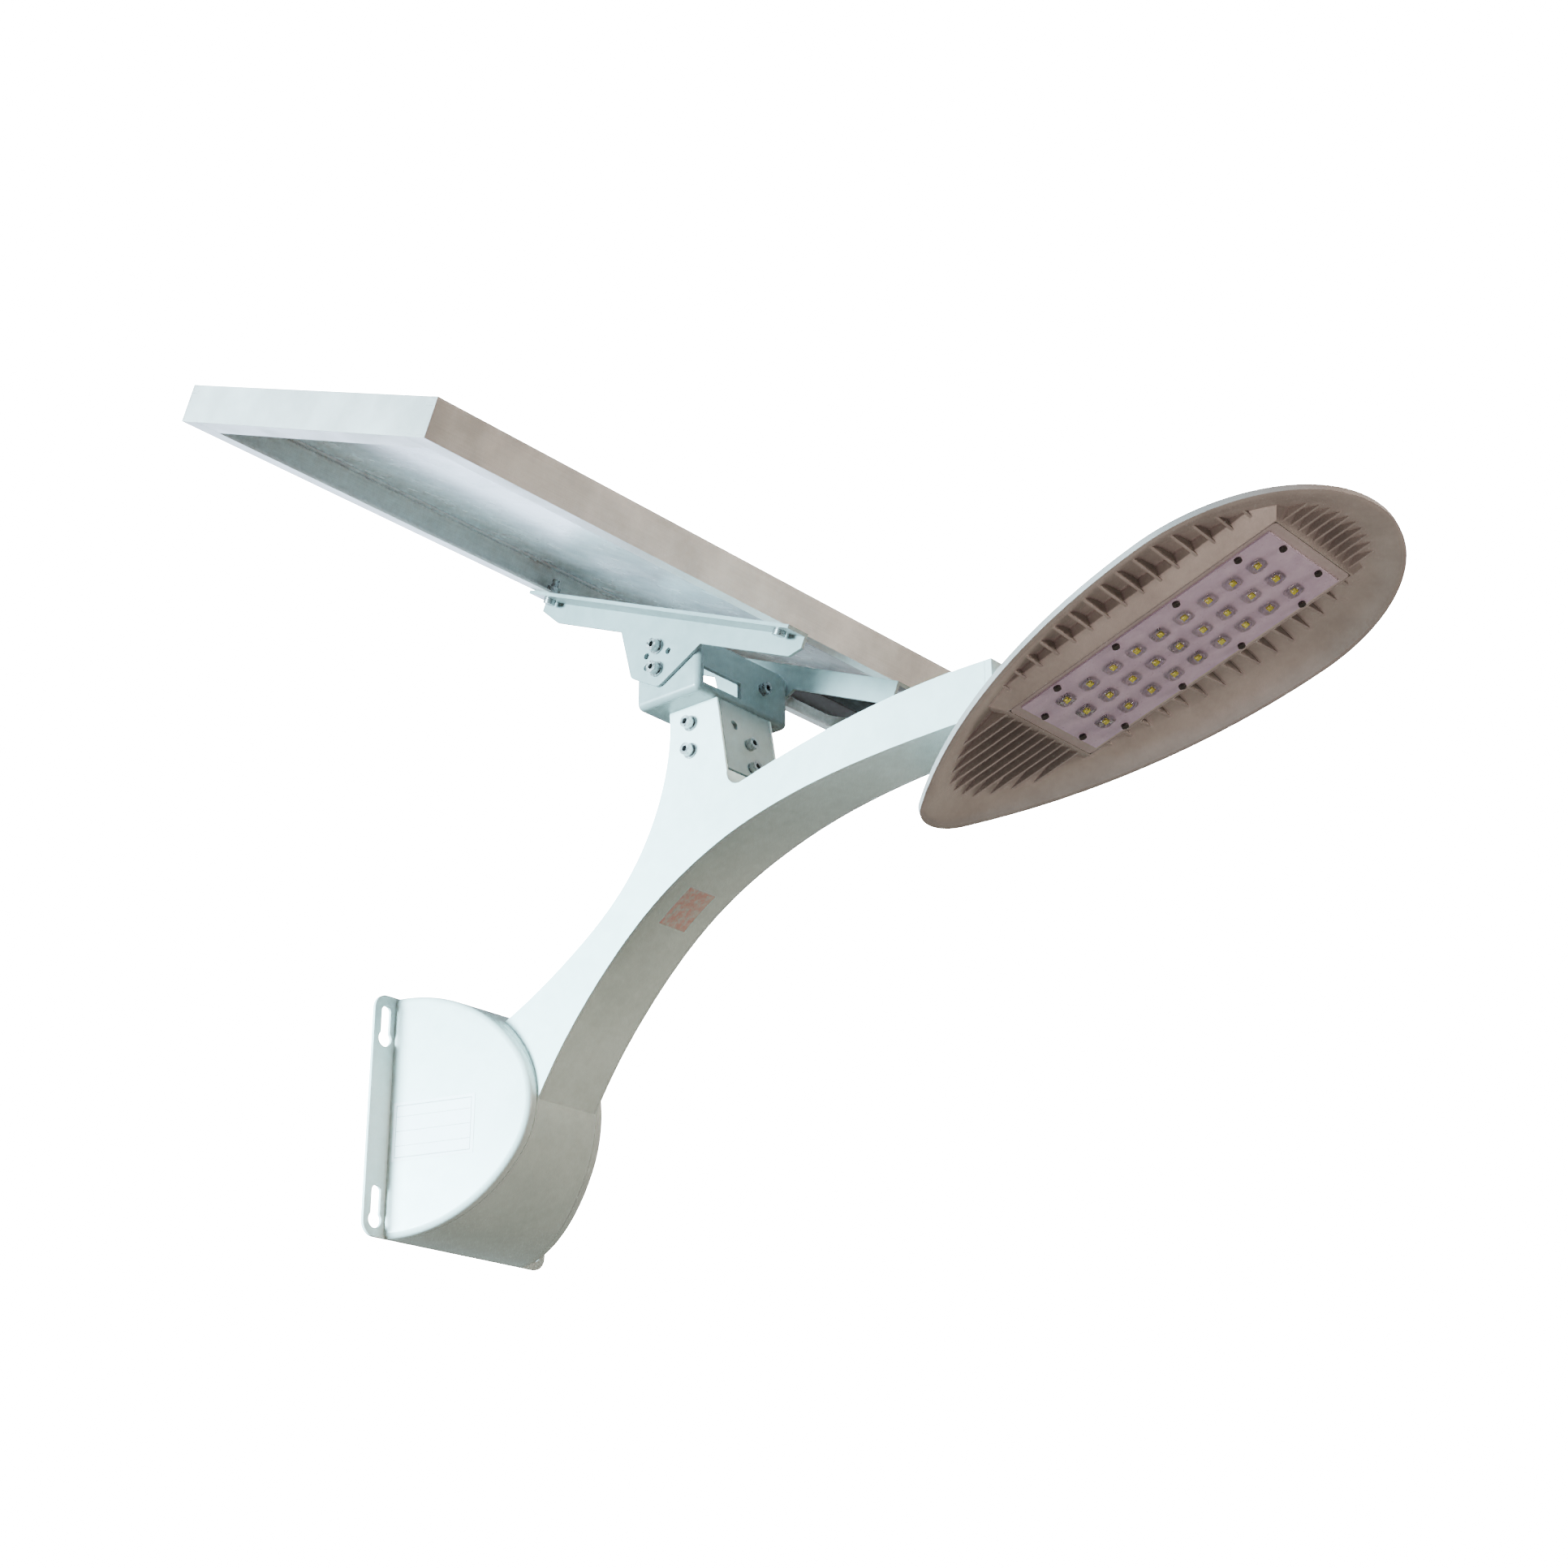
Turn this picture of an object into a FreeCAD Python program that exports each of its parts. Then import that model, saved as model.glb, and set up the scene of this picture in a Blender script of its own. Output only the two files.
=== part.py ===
"""Solar street lamp on a wall flange: a half-round battery box, a forked sheet-metal arm, a tilting
solar panel on a saddle bracket and a die-cast leaf-shaped lamp head on a tilting fork.

Frame: origin in the middle of the flange's wall face, +X out from the wall, +Y to the far side,
+Z up.  Lengths in millimetres, angles in degrees.
"""
import FreeCAD
import Part
import Sketcher
import math
import os
import re

from FreeCAD import Matrix, Placement, Rotation, Vector

os.makedirs("parts", exist_ok=True)
doc = FreeCAD.newDocument("SolarStreetLamp")

# ---------------------------------------------------------------- driving dimensions
DIMENSIONS = {
    # wall flange
    "flange_width": 262, "flange_height": 260, "flange_thick": 4, "flange_corner": 16,
    "slot_side": 115, "slot_width": 12, "slot_length": 42, "slot_centre": 97, "slot_entry": 17,
    # service hatch in the flange
    "hatch_width": 150, "hatch_height": 196, "hatch_thick": 2, "hatch_gap": 0.5, "hatch_tab": 26,
    "tab_thick": 2.5, "tab_overlap": 9, "hatch_screw": 5,
    # half-round battery box
    "box_width": 208, "box_flat": 10, "box_nose_share": 0.3846, "box_nose_x": 64, "box_taper": 0.3,
    "box_wall": 3, "pan_depth": 11, "pan_round": 7,
    "label_length": 98, "label_height": 63, "label_x": 9, "label_z": -50, "label_thick": 0.3,
    # inside the box
    "battery_depth": 66, "battery_width": 130, "battery_height": 118, "battery_gap": 3,
    "battery_z": -106, "strap_width": 24, "strap_thick": 2, "strap_foot": 16,
    "control_depth": 28, "control_width": 104, "control_height": 64, "control_z": 34,
    "control_gap": 2,
    # forked arm
    "arm_width": 86, "arm_wall": 3, "taper_start": 430, "arm_end_width": 70, "arm_end_x": 742,
    "post_back_x": 344, "post_top_x": 410, "post_top_z": 384,
    "crotch_x": 424, "crotch_z": 298,
    "entry_depth": 46, "entry_width": 58,
    # stem that carries the saddle inside the post
    "stem_thick": 4, "stem_gap": 0.2, "stem_drop": 88, "stem_back": 6, "cover_thick": 4,
    "cover_drop": 84, "cover_width": 78,
    "side_bolt_x": 374, "side_bolt_low": 333, "side_bolt_pitch": 31,
    "front_bolt_low": 312, "front_bolt_pitch": 28, "spare_hole_y": -20, "spare_hole_z": 358,
    # saddle
    "saddle_width": 144, "saddle_back": 326, "saddle_front": 410, "saddle_thick": 5,
    "saddle_top": 444, "saddle_corner": 18, "window_width": 58, "window_height": 18,
    "window_z": 394, "front_hole_y": 30, "front_hole_z": 417,
    # panel tilt
    "pivot_x": 356, "pivot_z": 446, "lock_radius": 26, "tilt_down": 12, "tilt_up": 20,
    "ear_gap": 0.6, "bracket_thick": 4, "bracket_web": 26, "bracket_flange": 26,
    "bracket_over": 8, "ear_top_half": 62, "ear_foot_half": 20,
    # solar panel
    "panel_tilt": 23.6, "panel_length": 1020, "panel_width": 387, "panel_offset": -65,
    "rail_height": 38, "rail_wall": 2.5, "rail_flange": 27, "rail_lip": 9,
    "panel_edge_x": 550.5, "panel_edge_z": 400.4,
    "glass_thick": 3.2, "glass_gap": 0.4, "cell_thick": 0.6, "sheet_thick": 0.8,
    "cell_margin": 14, "junction_length": 110, "junction_width": 84, "junction_height": 21,
    "junction_y": 250, "junction_u": 268,
    # lamp head
    "head_x": 932, "head_z": 294.3, "head_tilt": 18.25,
    "tip_radius": 161, "tip_u": 60, "side_radius": 540, "heel_radius": 44, "heel_u": -260,
    "rim_drop": 8, "head_height": 28, "recess_top": 24,
    "shoulder_out": 16, "shoulder_rise": 13, "seat_border": 2,
    "fin_thick": 2.6, "fin_pitch": 19.5, "end_fin_pitch": 13, "fin_low": 8, "fin_out": 60,
    "fin_out_rise": 14, "heel_fin_low": 4, "tip_fin_low": 2,
    "plate_length": 300, "plate_width": 132, "plate_thick": 6,
    "board_length": 280, "board_width": 122, "board_thick": 1.6,
    "led_rows": 9, "led_columns": 3, "led_row_pitch": 27, "led_column_pitch": 32,
    "lens_radius": 9.5, "lens_pocket": 4, "chip_side": 4, "chip_thick": 0.8,
    "cover_height": 30, "cover_wall": 3, "gasket_thick": 2, "cover_back": -104, "cover_length": 216,
    "cover_wide": 112, "cover_lip": 9, "cover_lip_thick": 4,
    "driver_length": 150, "driver_width": 62, "driver_height": 22,
    "led_screw_pitch": 68, "led_screw_edge": 5, "end_screw_side": 31,
    # fork and knuckle between arm and lamp head
    "fork_x": 772, "fork_z": 297, "fork_plate": 8, "lug_thick": 9, "lug_radius": 18,
    "knuckle_width": 30, "knuckle_gap": 0.5, "knuckle_radius": 17,
    "foot_back": 16, "foot_front": 32, "foot_width": 76,
    "foot_thick": 6, "fork_bolt": 10,
    # fasteners
    "bolt": 8, "bolt_head": 13, "bolt_head_high": 8, "washer": 17, "washer_thick": 1.6,
    "nut_flats": 13, "nut_high": 6.5, "hole_gap": 0.4, "screw": 4, "screw_head": 7,
    "screw_head_high": 2.6,
}

sheet = doc.addObject("Spreadsheet::Sheet", "Dims")
for row, (alias, value) in enumerate(DIMENSIONS.items(), start=1):
    sheet.set("A%d" % row, alias)
    sheet.set("B%d" % row, str(value))
    sheet.setAlias("B%d" % row, alias)
doc.recompute()
ALIASES = re.compile(r"\b(%s)\b" % "|".join(sorted(DIMENSIONS, key=len, reverse=True)))


def dim(alias):
    """Value of one cell of the sheet."""
    return float(sheet.get(alias))


def cells(text):
    """Expression text with each alias written as a reference to the sheet."""
    return ALIASES.sub(r"Dims.\1", str(text))


# ---------------------------------------------------------------- building blocks
def bind(obj, **expressions):
    """Bind properties of obj to expressions of the sheet's aliases."""
    for name, text in expressions.items():
        obj.setExpression(name.replace("__", "."), cells(text))


def locate(obj, x=0, y=0, z=0):
    """Bind the base point of an object's placement."""
    bind(obj, Placement__Base__x=x, Placement__Base__y=y, Placement__Base__z=z)
    return obj


def block(x, y, z, length, width, height):
    """A box with its low corner at x, y, z, all given as expressions."""
    obj = doc.addObject("Part::Box", "Block")
    bind(obj, Length=length, Width=width, Height=height)
    return locate(obj, x, y, z)


AXIS_TURN = {
    "x": Rotation(Vector(0, 1, 0), 90),
    "y": Rotation(Vector(1, 0, 0), -90),
    "z": Rotation(),
}


def rod(axis, diameter, x, y, z, length):
    """A cylinder of the given diameter that starts at x, y, z and runs along +axis."""
    obj = doc.addObject("Part::Cylinder", "Rod")
    bind(obj, Radius="(%s)/2" % diameter, Height=length)
    obj.Placement = Placement(Vector(), AXIS_TURN[axis])
    return locate(obj, x, y, z)


def hexagon(axis, flats, x, y, z, length):
    """A hexagonal prism across flats, starting at x, y, z and running along +axis."""
    obj = doc.addObject("Part::Prism", "Hexagon")
    obj.Polygon = 6
    bind(obj, Circumradius="(%s)/sqrt(3)" % flats, Height=length)
    obj.Placement = Placement(Vector(), AXIS_TURN[axis])
    return locate(obj, x, y, z)


def fuse(*parts):
    """One solid from several."""
    obj = doc.addObject("Part::MultiFuse", "Fuse")
    obj.Shapes = list(parts)
    return obj


def cut(base, *tools):
    """Base with the tools taken out."""
    obj = doc.addObject("Part::Cut", "Cut")
    obj.Base = base
    obj.Tool = tools[0] if len(tools) == 1 else fuse(*tools)
    return obj


def shaped(shape):
    """A document object that holds a shape made with Part's own functions."""
    obj = doc.addObject("Part::Feature", "Shaped")
    obj.Shape = shape
    return obj


NODES = []


def piece(name, *parts, frame=None):
    """Name a finished sub-part, set it in its frame and list it for export."""
    obj = doc.addObject("Part::Compound", name)
    obj.Label = name
    obj.Links = list(parts)
    if frame:
        frame(obj)
    NODES.append(obj)
    return obj


def head_frame(obj):
    """Lamp frame: origin in the middle of the LED plate's face, +X to the tip, +Z to the sky."""
    obj.Placement = Placement(
        Vector(dim("head_x"), 0, dim("head_z")),
        Rotation(Vector(0, 1, 0), -dim("head_tilt")))
    bind(obj, Placement__Base__x="head_x", Placement__Base__z="head_z")


def arc(start, middle, end):
    """An arc edge through three points."""
    return Part.Arc(start, middle, end).toShape()


def spline(points):
    """A smooth edge through points."""
    curve = Part.BSplineCurve()
    curve.interpolate(points)
    return curve.toShape()


def inset_face(face, inset):
    """The face drawn inward by inset, its curved edges redrawn as smooth edges through points."""
    runs = [edge.discretize(2 if isinstance(edge.Curve, Part.Line) else 24)
            for edge in face.makeOffset2D(-inset).OuterWire.Edges]
    chain = [runs.pop(0)]
    while runs:
        end = chain[-1][-1]
        nearest = min(runs, key=lambda run: min(run[0].distanceToPoint(end),
                                                run[-1].distanceToPoint(end)))
        runs.remove(nearest)
        if nearest[-1].distanceToPoint(end) < nearest[0].distanceToPoint(end):
            nearest.reverse()
        chain.append([end] + nearest[1:])
    chain[-1][-1] = chain[0][0]
    return Part.Face(Part.Wire([
        spline(run) if len(run) > 2 else Part.LineSegment(run[0], run[1]).toShape()
        for run in chain]))


def on_circle(centre, radius, toward):
    """Point of a circle in the direction of another point."""
    return centre + (toward - centre).normalize() * radius


def xz(x, z, y=0):
    """Point of the plane across the arm."""
    return Vector(x, y, z)


# ---------------------------------------------------------------- wall flange
def rectangle(sketch, width, height):
    """Rectangle in a sketch about its origin, its sizes bound to the sheet."""
    w, h = 50, 40
    corners = [Vector(-w, -h, 0), Vector(w, -h, 0), Vector(w, h, 0), Vector(-w, h, 0)]
    first = sketch.GeometryCount
    for k in range(4):
        sketch.addGeometry(Part.LineSegment(corners[k], corners[(k + 1) % 4]), False)
    for k in range(4):
        sketch.addConstraint(Sketcher.Constraint("Coincident", first + k, 2, first + (k + 1) % 4, 1))
    sketch.addConstraint(Sketcher.Constraint("Horizontal", first))
    sketch.addConstraint(Sketcher.Constraint("Horizontal", first + 2))
    sketch.addConstraint(Sketcher.Constraint("Vertical", first + 1))
    sketch.addConstraint(Sketcher.Constraint("Vertical", first + 3))
    for kind, text, args in (
            ("DistanceX", width, (first, 1, first, 2)),
            ("DistanceY", height, (first + 1, 1, first + 1, 2))):
        number = sketch.addConstraint(Sketcher.Constraint(kind, *args, 80.0))
        sketch.setExpression("Constraints[%d]" % number, cells(text))
    sketch.addConstraint(Sketcher.Constraint("Symmetric", first, 1, first + 1, 2, -1, 1))


def plate_body(name, plane, width, height, thick, corner=None):
    """A flat plate as a body: rectangle sketch, pad and rounded corners."""
    body = doc.addObject("PartDesign::Body", name + "_body")
    sketch = body.newObject("Sketcher::SketchObject", name + "_outline")
    origin = [o for o in body.Origin.OriginFeatures if o.Role == plane][0]
    sketch.AttachmentSupport = [(origin, "")]
    sketch.MapMode = "FlatFace"
    rectangle(sketch, width, height)
    pad = body.newObject("PartDesign::Pad", name + "_pad")
    pad.Profile = sketch
    pad.Length = 1
    pad.setExpression("Length", cells(thick))
    body.Tip = pad
    doc.recompute()
    if corner:
        normal = {"XY_Plane": Vector(0, 0, 1), "YZ_Plane": Vector(1, 0, 0)}[plane]
        edges = ["Edge%d" % (k + 1) for k, edge in enumerate(pad.Shape.Edges)
                 if abs(edge.tangentAt(0).dot(normal)) > 0.99]
        fillet = body.newObject("PartDesign::Fillet", name + "_round")
        fillet.Base = (pad, edges)
        fillet.Radius = 1
        fillet.setExpression("Radius", cells(corner))
        body.Tip = fillet
        doc.recompute()
    return body


def keyhole(side, level):
    """Keyhole slot through the flange: an upright slot with a wider entry at its low end."""
    y = "%d*slot_side" % side
    low = "%s-slot_length/2+slot_width/2" % level
    return [
        block("-1", "%s-slot_width/2" % y, low, "flange_thick+2", "slot_width",
              "slot_length-slot_width"),
        rod("x", "slot_width", "-1", y, "%s+slot_length-slot_width" % low, "flange_thick+2"),
        rod("x", "slot_entry", "-1", y, low, "flange_thick+2"),
    ]


flange = plate_body("flange", "YZ_Plane", "flange_width", "flange_height", "flange_thick",
                    "flange_corner")
slots = [tool for side in (-1, 1) for level in ("slot_centre", "-slot_centre")
         for tool in keyhole(side, level)]
opening = block("-1", "-hatch_width/2", "-hatch_height/2", "flange_thick+2", "hatch_width",
                "hatch_height")
piece("back_plate", cut(flange, opening, *slots))

hatch_holes = []
hatch_tabs = []
hatch_screws = []
for side in (-1, 1):
    for level in (-1, 1):
        y = "%d*(hatch_width/2-hatch_tab/2+2)" % side
        z = "%d*(hatch_height/2-hatch_tab/2+2)" % level
        hatch_holes.append(rod("x", "hatch_screw+hole_gap", "-1", y, z, "20"))
        tab_y = "%d*(hatch_width/2+tab_overlap-hatch_tab/2-tab_overlap/2)-hatch_tab/2-tab_overlap/2"
        tab = block("flange_thick", tab_y % side,
                    "%d*(hatch_height/2-hatch_tab/2)-hatch_tab/2" % level, "tab_thick",
                    "hatch_tab+tab_overlap", "hatch_tab")
        hatch_tabs.append(cut(tab, rod("x", "hatch_screw", "0", y, z, "30")))
        hatch_screws.append(fuse(
            rod("x", "hatch_screw", "flange_thick-hatch_thick", y, z, "hatch_thick+tab_thick+1.5"),
            rod("x", "hatch_screw*1.8", "0.2", y, z, "flange_thick-hatch_thick-0.2")))
hatch = block("flange_thick-hatch_thick", "-hatch_width/2+hatch_gap", "-hatch_height/2+hatch_gap",
              "hatch_thick", "hatch_width-2*hatch_gap", "hatch_height-2*hatch_gap")
piece("hatch_cover", cut(hatch, *hatch_holes))
piece("hatch_tabs", *hatch_tabs)
piece("hatch_screws", *hatch_screws)


# ---------------------------------------------------------------- half-round box
def d_wire(inset, y):
    """Half-round outline of the box, drawn inward by inset, in the plane at y.

    A short flat at the top and bottom, then two shoulder arcs that run into the nose arc with
    one tangent.
    """
    x0 = dim("flange_thick") - (1 if inset else 0)
    half = dim("flange_height") / 2 - inset
    flat_x = dim("box_flat")
    full_half = dim("flange_height") / 2
    full_nose = dim("flange_height") * dim("box_nose_share")
    reach = dim("box_nose_x") - flat_x
    full_shoulder = (full_half ** 2 + reach ** 2 - full_nose ** 2) / (2 * (full_half - full_nose))
    shoulder = full_shoulder - inset
    nose = full_nose - inset
    upper = xz(flat_x, half - shoulder, y)
    tip = xz(dim("box_nose_x"), 0, y)
    join = on_circle(upper, shoulder, tip)
    top = xz(flat_x, half, y)
    mid = on_circle(upper, shoulder, (top + join) * 0.5)
    low = xz(flat_x, -half, y)
    low_join = xz(join.x, -join.z, y)
    low_mid = xz(mid.x, -mid.z, y)
    return Part.Wire([
        Part.LineSegment(xz(x0, half, y), top).toShape(),
        arc(top, mid, join),
        arc(join, tip + Vector(nose, 0, 0), low_join),
        arc(low_join, low_mid, low),
        Part.LineSegment(low, xz(x0, -half, y)).toShape(),
        Part.LineSegment(xz(x0, -half, y), xz(x0, half, y)).toShape(),
    ])


def d_prism(inset, y0, y1):
    """Solid of the half-round outline between two planes."""
    return Part.Face(d_wire(inset, y0)).extrude(Vector(0, y1 - y0, 0))


box_half = dim("box_width") / 2
box_wall = dim("box_wall")
box_slope = math.atan(dim("box_taper"))


def plan_wedge(inset):
    """Space between the two leaning sides of the box, each moved inward by inset."""
    half = box_half - inset / math.cos(box_slope)
    reach = 250
    end = half - dim("box_taper") * reach
    points = [Vector(0, -half, -300), Vector(reach, -end, -300), Vector(reach, end, -300),
              Vector(0, half, -300), Vector(0, -half, -300)]
    return Part.Face(Part.makePolygon(points)).extrude(Vector(0, 0, 600))


def box_body():
    """Outside of the box: half round from the side, narrowing from above, both rims rounded."""
    sharp = d_prism(0, -box_half - 10, box_half + 10).common(plan_wedge(0))
    slack = 0.5
    rim = []
    for edge in sharp.Edges:
        middle = edge.valueAt((edge.FirstParameter + edge.LastParameter) / 2)
        side_y = box_half - dim("box_taper") * middle.x
        on_side = abs(abs(middle.y) - side_y) < slack
        if on_side and middle.x > dim("flange_thick") + slack:
            rim.append(edge)
    return sharp.makeFillet(dim("pan_round"), rim)


def mirrored(shape):
    """The shape on the other side of the symmetry plane."""
    return shape.mirror(Vector(), Vector(0, 1, 0))


box_solid = box_body()
box_inner = d_prism(box_wall, -box_half - 10, box_half + 10).common(plan_wedge(box_wall))
box_shell = box_solid.cut(box_inner)
pan_plan = plan_wedge(dim("pan_depth"))
for solid in box_shell.cut(pan_plan).Solids:
    side = "near" if solid.CenterOfMass.y < 0 else "far"
    piece("box_side_" + side, shaped(solid))
entry = Part.makeBox(60, dim("entry_width"), dim("entry_depth"),
                     Vector(120, -dim("entry_width") / 2, 30))
piece("box_skin", shaped(box_shell.common(pan_plan).cut(entry)))
label = Part.makeBox(dim("label_length"), dim("label_thick"), dim("label_height"),
                     Vector(dim("label_x"), -dim("label_thick"), dim("label_z")))
label.rotate(Vector(), Vector(0, 0, 1), math.degrees(box_slope))
label.translate(Vector(0, -box_half, 0))
piece("spec_label", shaped(label))

# ---------------------------------------------------------------- inside the box
battery_x = "flange_thick+battery_gap+tab_thick"
piece("battery_pack", block(battery_x, "-battery_width/2", "battery_z", "battery_depth",
                            "battery_width", "battery_height"))
strap_z = "battery_z+battery_height/2-strap_width/2"
strap_y = "battery_width/2+0.3"
strap_x = "flange_thick+tab_thick+battery_gap+battery_depth+0.3"
strap = fuse(
    block(strap_x, "-(%s)-strap_thick" % strap_y, strap_z, "strap_thick",
          "2*(%s)+2*strap_thick" % strap_y, "strap_width"),
    block("flange_thick", "-(%s)-strap_thick" % strap_y, strap_z,
          "battery_gap+tab_thick+battery_depth+0.3+strap_thick", "strap_thick", "strap_width"),
    block("flange_thick", strap_y, strap_z,
          "battery_gap+tab_thick+battery_depth+0.3+strap_thick", "strap_thick", "strap_width"),
    block("flange_thick", "-(%s)-strap_foot" % strap_y, strap_z, "strap_thick",
          "strap_foot", "strap_width"),
    block("flange_thick", strap_y, strap_z, "strap_thick", "strap_foot", "strap_width"))
strap_screws = []
strap_holes = []
for side in (-1, 1):
    y = "%d*(%s+strap_foot/2+1)" % (side, strap_y)
    z = "%s+strap_width/2" % strap_z
    strap_holes.append(rod("x", "screw+hole_gap", "flange_thick-1", y, z, "strap_thick+2"))
    strap_screws.append(fuse(
        rod("x", "screw", "flange_thick", y, z, "strap_thick"),
        rod("x", "screw_head", "flange_thick+strap_thick", y, z, "screw_head_high")))
piece("battery_strap", cut(strap, *strap_holes))
piece("strap_screws", *strap_screws)
control_x = "flange_thick+tab_thick+control_gap"
piece("charge_controller", block(control_x, "-control_width/2", "control_z", "control_depth",
                                 "control_width", "control_height"))


# ---------------------------------------------------------------- forked arm
# Points (x, z) that the arm's curves pass through in the side view, from the box outward.
ARM_UNDERSIDE = [(120, -72), (158, -8), (190, 42), (236, 98), (282, 143), (330, 180), (458, 238),
                 (600, 263)]
ARM_BACK = [(84, 84), (150, 114), (210, 149), (281, 206), (329, 284)]
BRANCH_TOP = [(444, 281), (510, 298), (600, 315)]
CROTCH_MIDDLE = (429, 284)
POST_BACK_START = 350
ARM_END_LOW = 270
ARM_END_HIGH = 325


def arm_wire(y):
    """Side view of the forked arm, from inside the box to the post top and the lamp end."""
    post_top = dim("post_top_z")
    end_x = dim("arm_end_x")
    back_x = dim("post_back_x")
    front_x = dim("post_top_x")
    low = [xz(x, z, y) for x, z in ARM_UNDERSIDE] + [xz(end_x, ARM_END_LOW, y)]
    back = [xz(x, z, y) for x, z in ARM_BACK]
    back += [xz(back_x, POST_BACK_START, y), xz(back_x, post_top, y)]
    crotch_top = xz(dim("crotch_x"), dim("crotch_z"), y)
    crotch_mid = xz(*CROTCH_MIDDLE, y)
    crotch_end = xz(*BRANCH_TOP[0], y)
    branch = [xz(x, z, y) for x, z in BRANCH_TOP] + [xz(end_x, ARM_END_HIGH, y)]
    return Part.Wire([
        spline(low),
        Part.LineSegment(low[-1], branch[-1]).toShape(),
        spline(list(reversed(branch))),
        arc(crotch_end, crotch_mid, crotch_top),
        Part.LineSegment(crotch_top, xz(front_x, post_top, y)).toShape(),
        Part.LineSegment(xz(front_x, post_top, y), back[-1]).toShape(),
        spline(list(reversed(back))),
        Part.LineSegment(back[0], low[0]).toShape(),
    ])


def plan_prism(inset):
    """Width of the arm seen from above: parallel, then tapering to the lamp end."""
    half = dim("arm_width") / 2 - inset
    end_half = dim("arm_end_width") / 2 - inset
    start = dim("taper_start")
    end = dim("arm_end_x") + 20
    slope = (end_half - half) / (dim("arm_end_x") - start)
    end_half = half + slope * (end - start)
    points = [Vector(0, -half, -200), Vector(start, -half, -200), Vector(end, -end_half, -200),
              Vector(end, end_half, -200), Vector(start, half, -200), Vector(0, half, -200),
              Vector(0, -half, -200)]
    return Part.Face(Part.makePolygon(points)).extrude(Vector(0, 0, 800))


arm_half = dim("arm_width") / 2
arm_wall = dim("arm_wall")
arm_face = Part.Face(arm_wire(-arm_half - 2))
arm_depth = Vector(0, 2 * arm_half + 4, 0)
arm_outer = arm_face.extrude(arm_depth)
arm_inner = inset_face(arm_face, arm_wall).extrude(arm_depth)
plan_outer = plan_prism(0)
plan_inner = plan_prism(arm_wall)

bolt_holes = []
for k in range(2):
    z = dim("side_bolt_low") + k * dim("side_bolt_pitch")
    bolt_holes.append(Part.makeCylinder((dim("bolt") + dim("hole_gap")) / 2, 200,
                                        xz(dim("side_bolt_x"), z, -100), Vector(0, 1, 0)))

plates = arm_outer.common(plan_outer.cut(plan_inner)).cut(box_solid)
for hole in bolt_holes:
    plates = plates.cut(hole)
for solid in plates.Solids:
    side = "near" if solid.CenterOfMass.y < 0 else "far"
    piece("arm_side_" + side, shaped(solid))

band = arm_outer.cut(arm_inner).common(plan_inner).cut(box_solid)
post_top = dim("post_top_z")
band = band.cut(Part.makeBox(200, 200, 50, Vector(300, -100, post_top - arm_wall)))
band = band.cut(Part.makeBox(50, 200, 200, Vector(dim("arm_end_x") - arm_wall, -100, 200)))
cover_opening = Part.makeBox(60, 200, dim("cover_drop"),
                             Vector(395, -100, post_top - dim("cover_drop")))
band = band.cut(cover_opening)
for solid in band.Solids:
    middle = solid.BoundBox
    if middle.ZMax > post_top - 10:
        piece("arm_back_skin", shaped(solid))
    elif middle.XMin < 250:
        piece("arm_underside", shaped(solid))
    else:
        piece("arm_crotch_skin", shaped(solid))

# ---------------------------------------------------------------- fork at the lamp end of the arm
lug_y = dim("knuckle_width") / 2 + dim("knuckle_gap")
end_x = dim("arm_end_x")
end_plate = Part.makeBox(dim("fork_plate"), dim("arm_end_width"),
                         ARM_END_HIGH - ARM_END_LOW - 1,
                         Vector(end_x, -dim("arm_end_width") / 2, ARM_END_LOW + 1))
lugs = []
for y0 in (-lug_y - dim("lug_thick"), lug_y):
    pin = xz(dim("fork_x"), dim("fork_z"), y0)
    eye = Part.makeCylinder(dim("lug_radius"), dim("lug_thick"), pin, Vector(0, 1, 0))
    arm_of_lug = Part.makeBox(dim("fork_x") - end_x, dim("lug_thick"), 2 * dim("lug_radius"),
                              Vector(end_x, y0, dim("fork_z") - dim("lug_radius")))
    lugs.append(eye.fuse(arm_of_lug))
fork = end_plate.multiFuse(lugs)
fork_bore = Part.makeCylinder((dim("fork_bolt") + 0.1) / 2, 120,
                              xz(dim("fork_x"), dim("fork_z"), -60), Vector(0, 1, 0))
piece("arm_end_fork", shaped(fork.cut(fork_bore).removeSplitter()))
fork_reach = "knuckle_width/2+knuckle_gap+lug_thick"
piece("fork_bolt", fuse(
    rod("y", "fork_bolt", "fork_x", "-(%s)" % fork_reach, "fork_z", "2*(%s)+9" % fork_reach),
    hexagon("y", "17", "fork_x", "-(%s)-7" % fork_reach, "fork_z", "7")))
piece("fork_nut", cut(hexagon("y", "17", "fork_x", fork_reach, "fork_z", "8"),
                      rod("y", "fork_bolt", "fork_x", "0", "fork_z", "60")))

# ---------------------------------------------------------------- stem, cover and saddle
LEAN = math.atan2(dim("crotch_x") - dim("post_top_x"), dim("post_top_z") - dim("crotch_z"))
COVER_PLACE = Placement(Vector(dim("post_top_x"), 0, dim("post_top_z")),
                        Rotation(Vector(0, 1, 0), -math.degrees(LEAN)))


def on_cover(obj):
    """Set a piece in the plane of the post's sloping front, +X outward."""
    obj.Placement = COVER_PLACE
    bind(obj, Placement__Base__x="post_top_x", Placement__Base__z="post_top_z")


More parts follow.
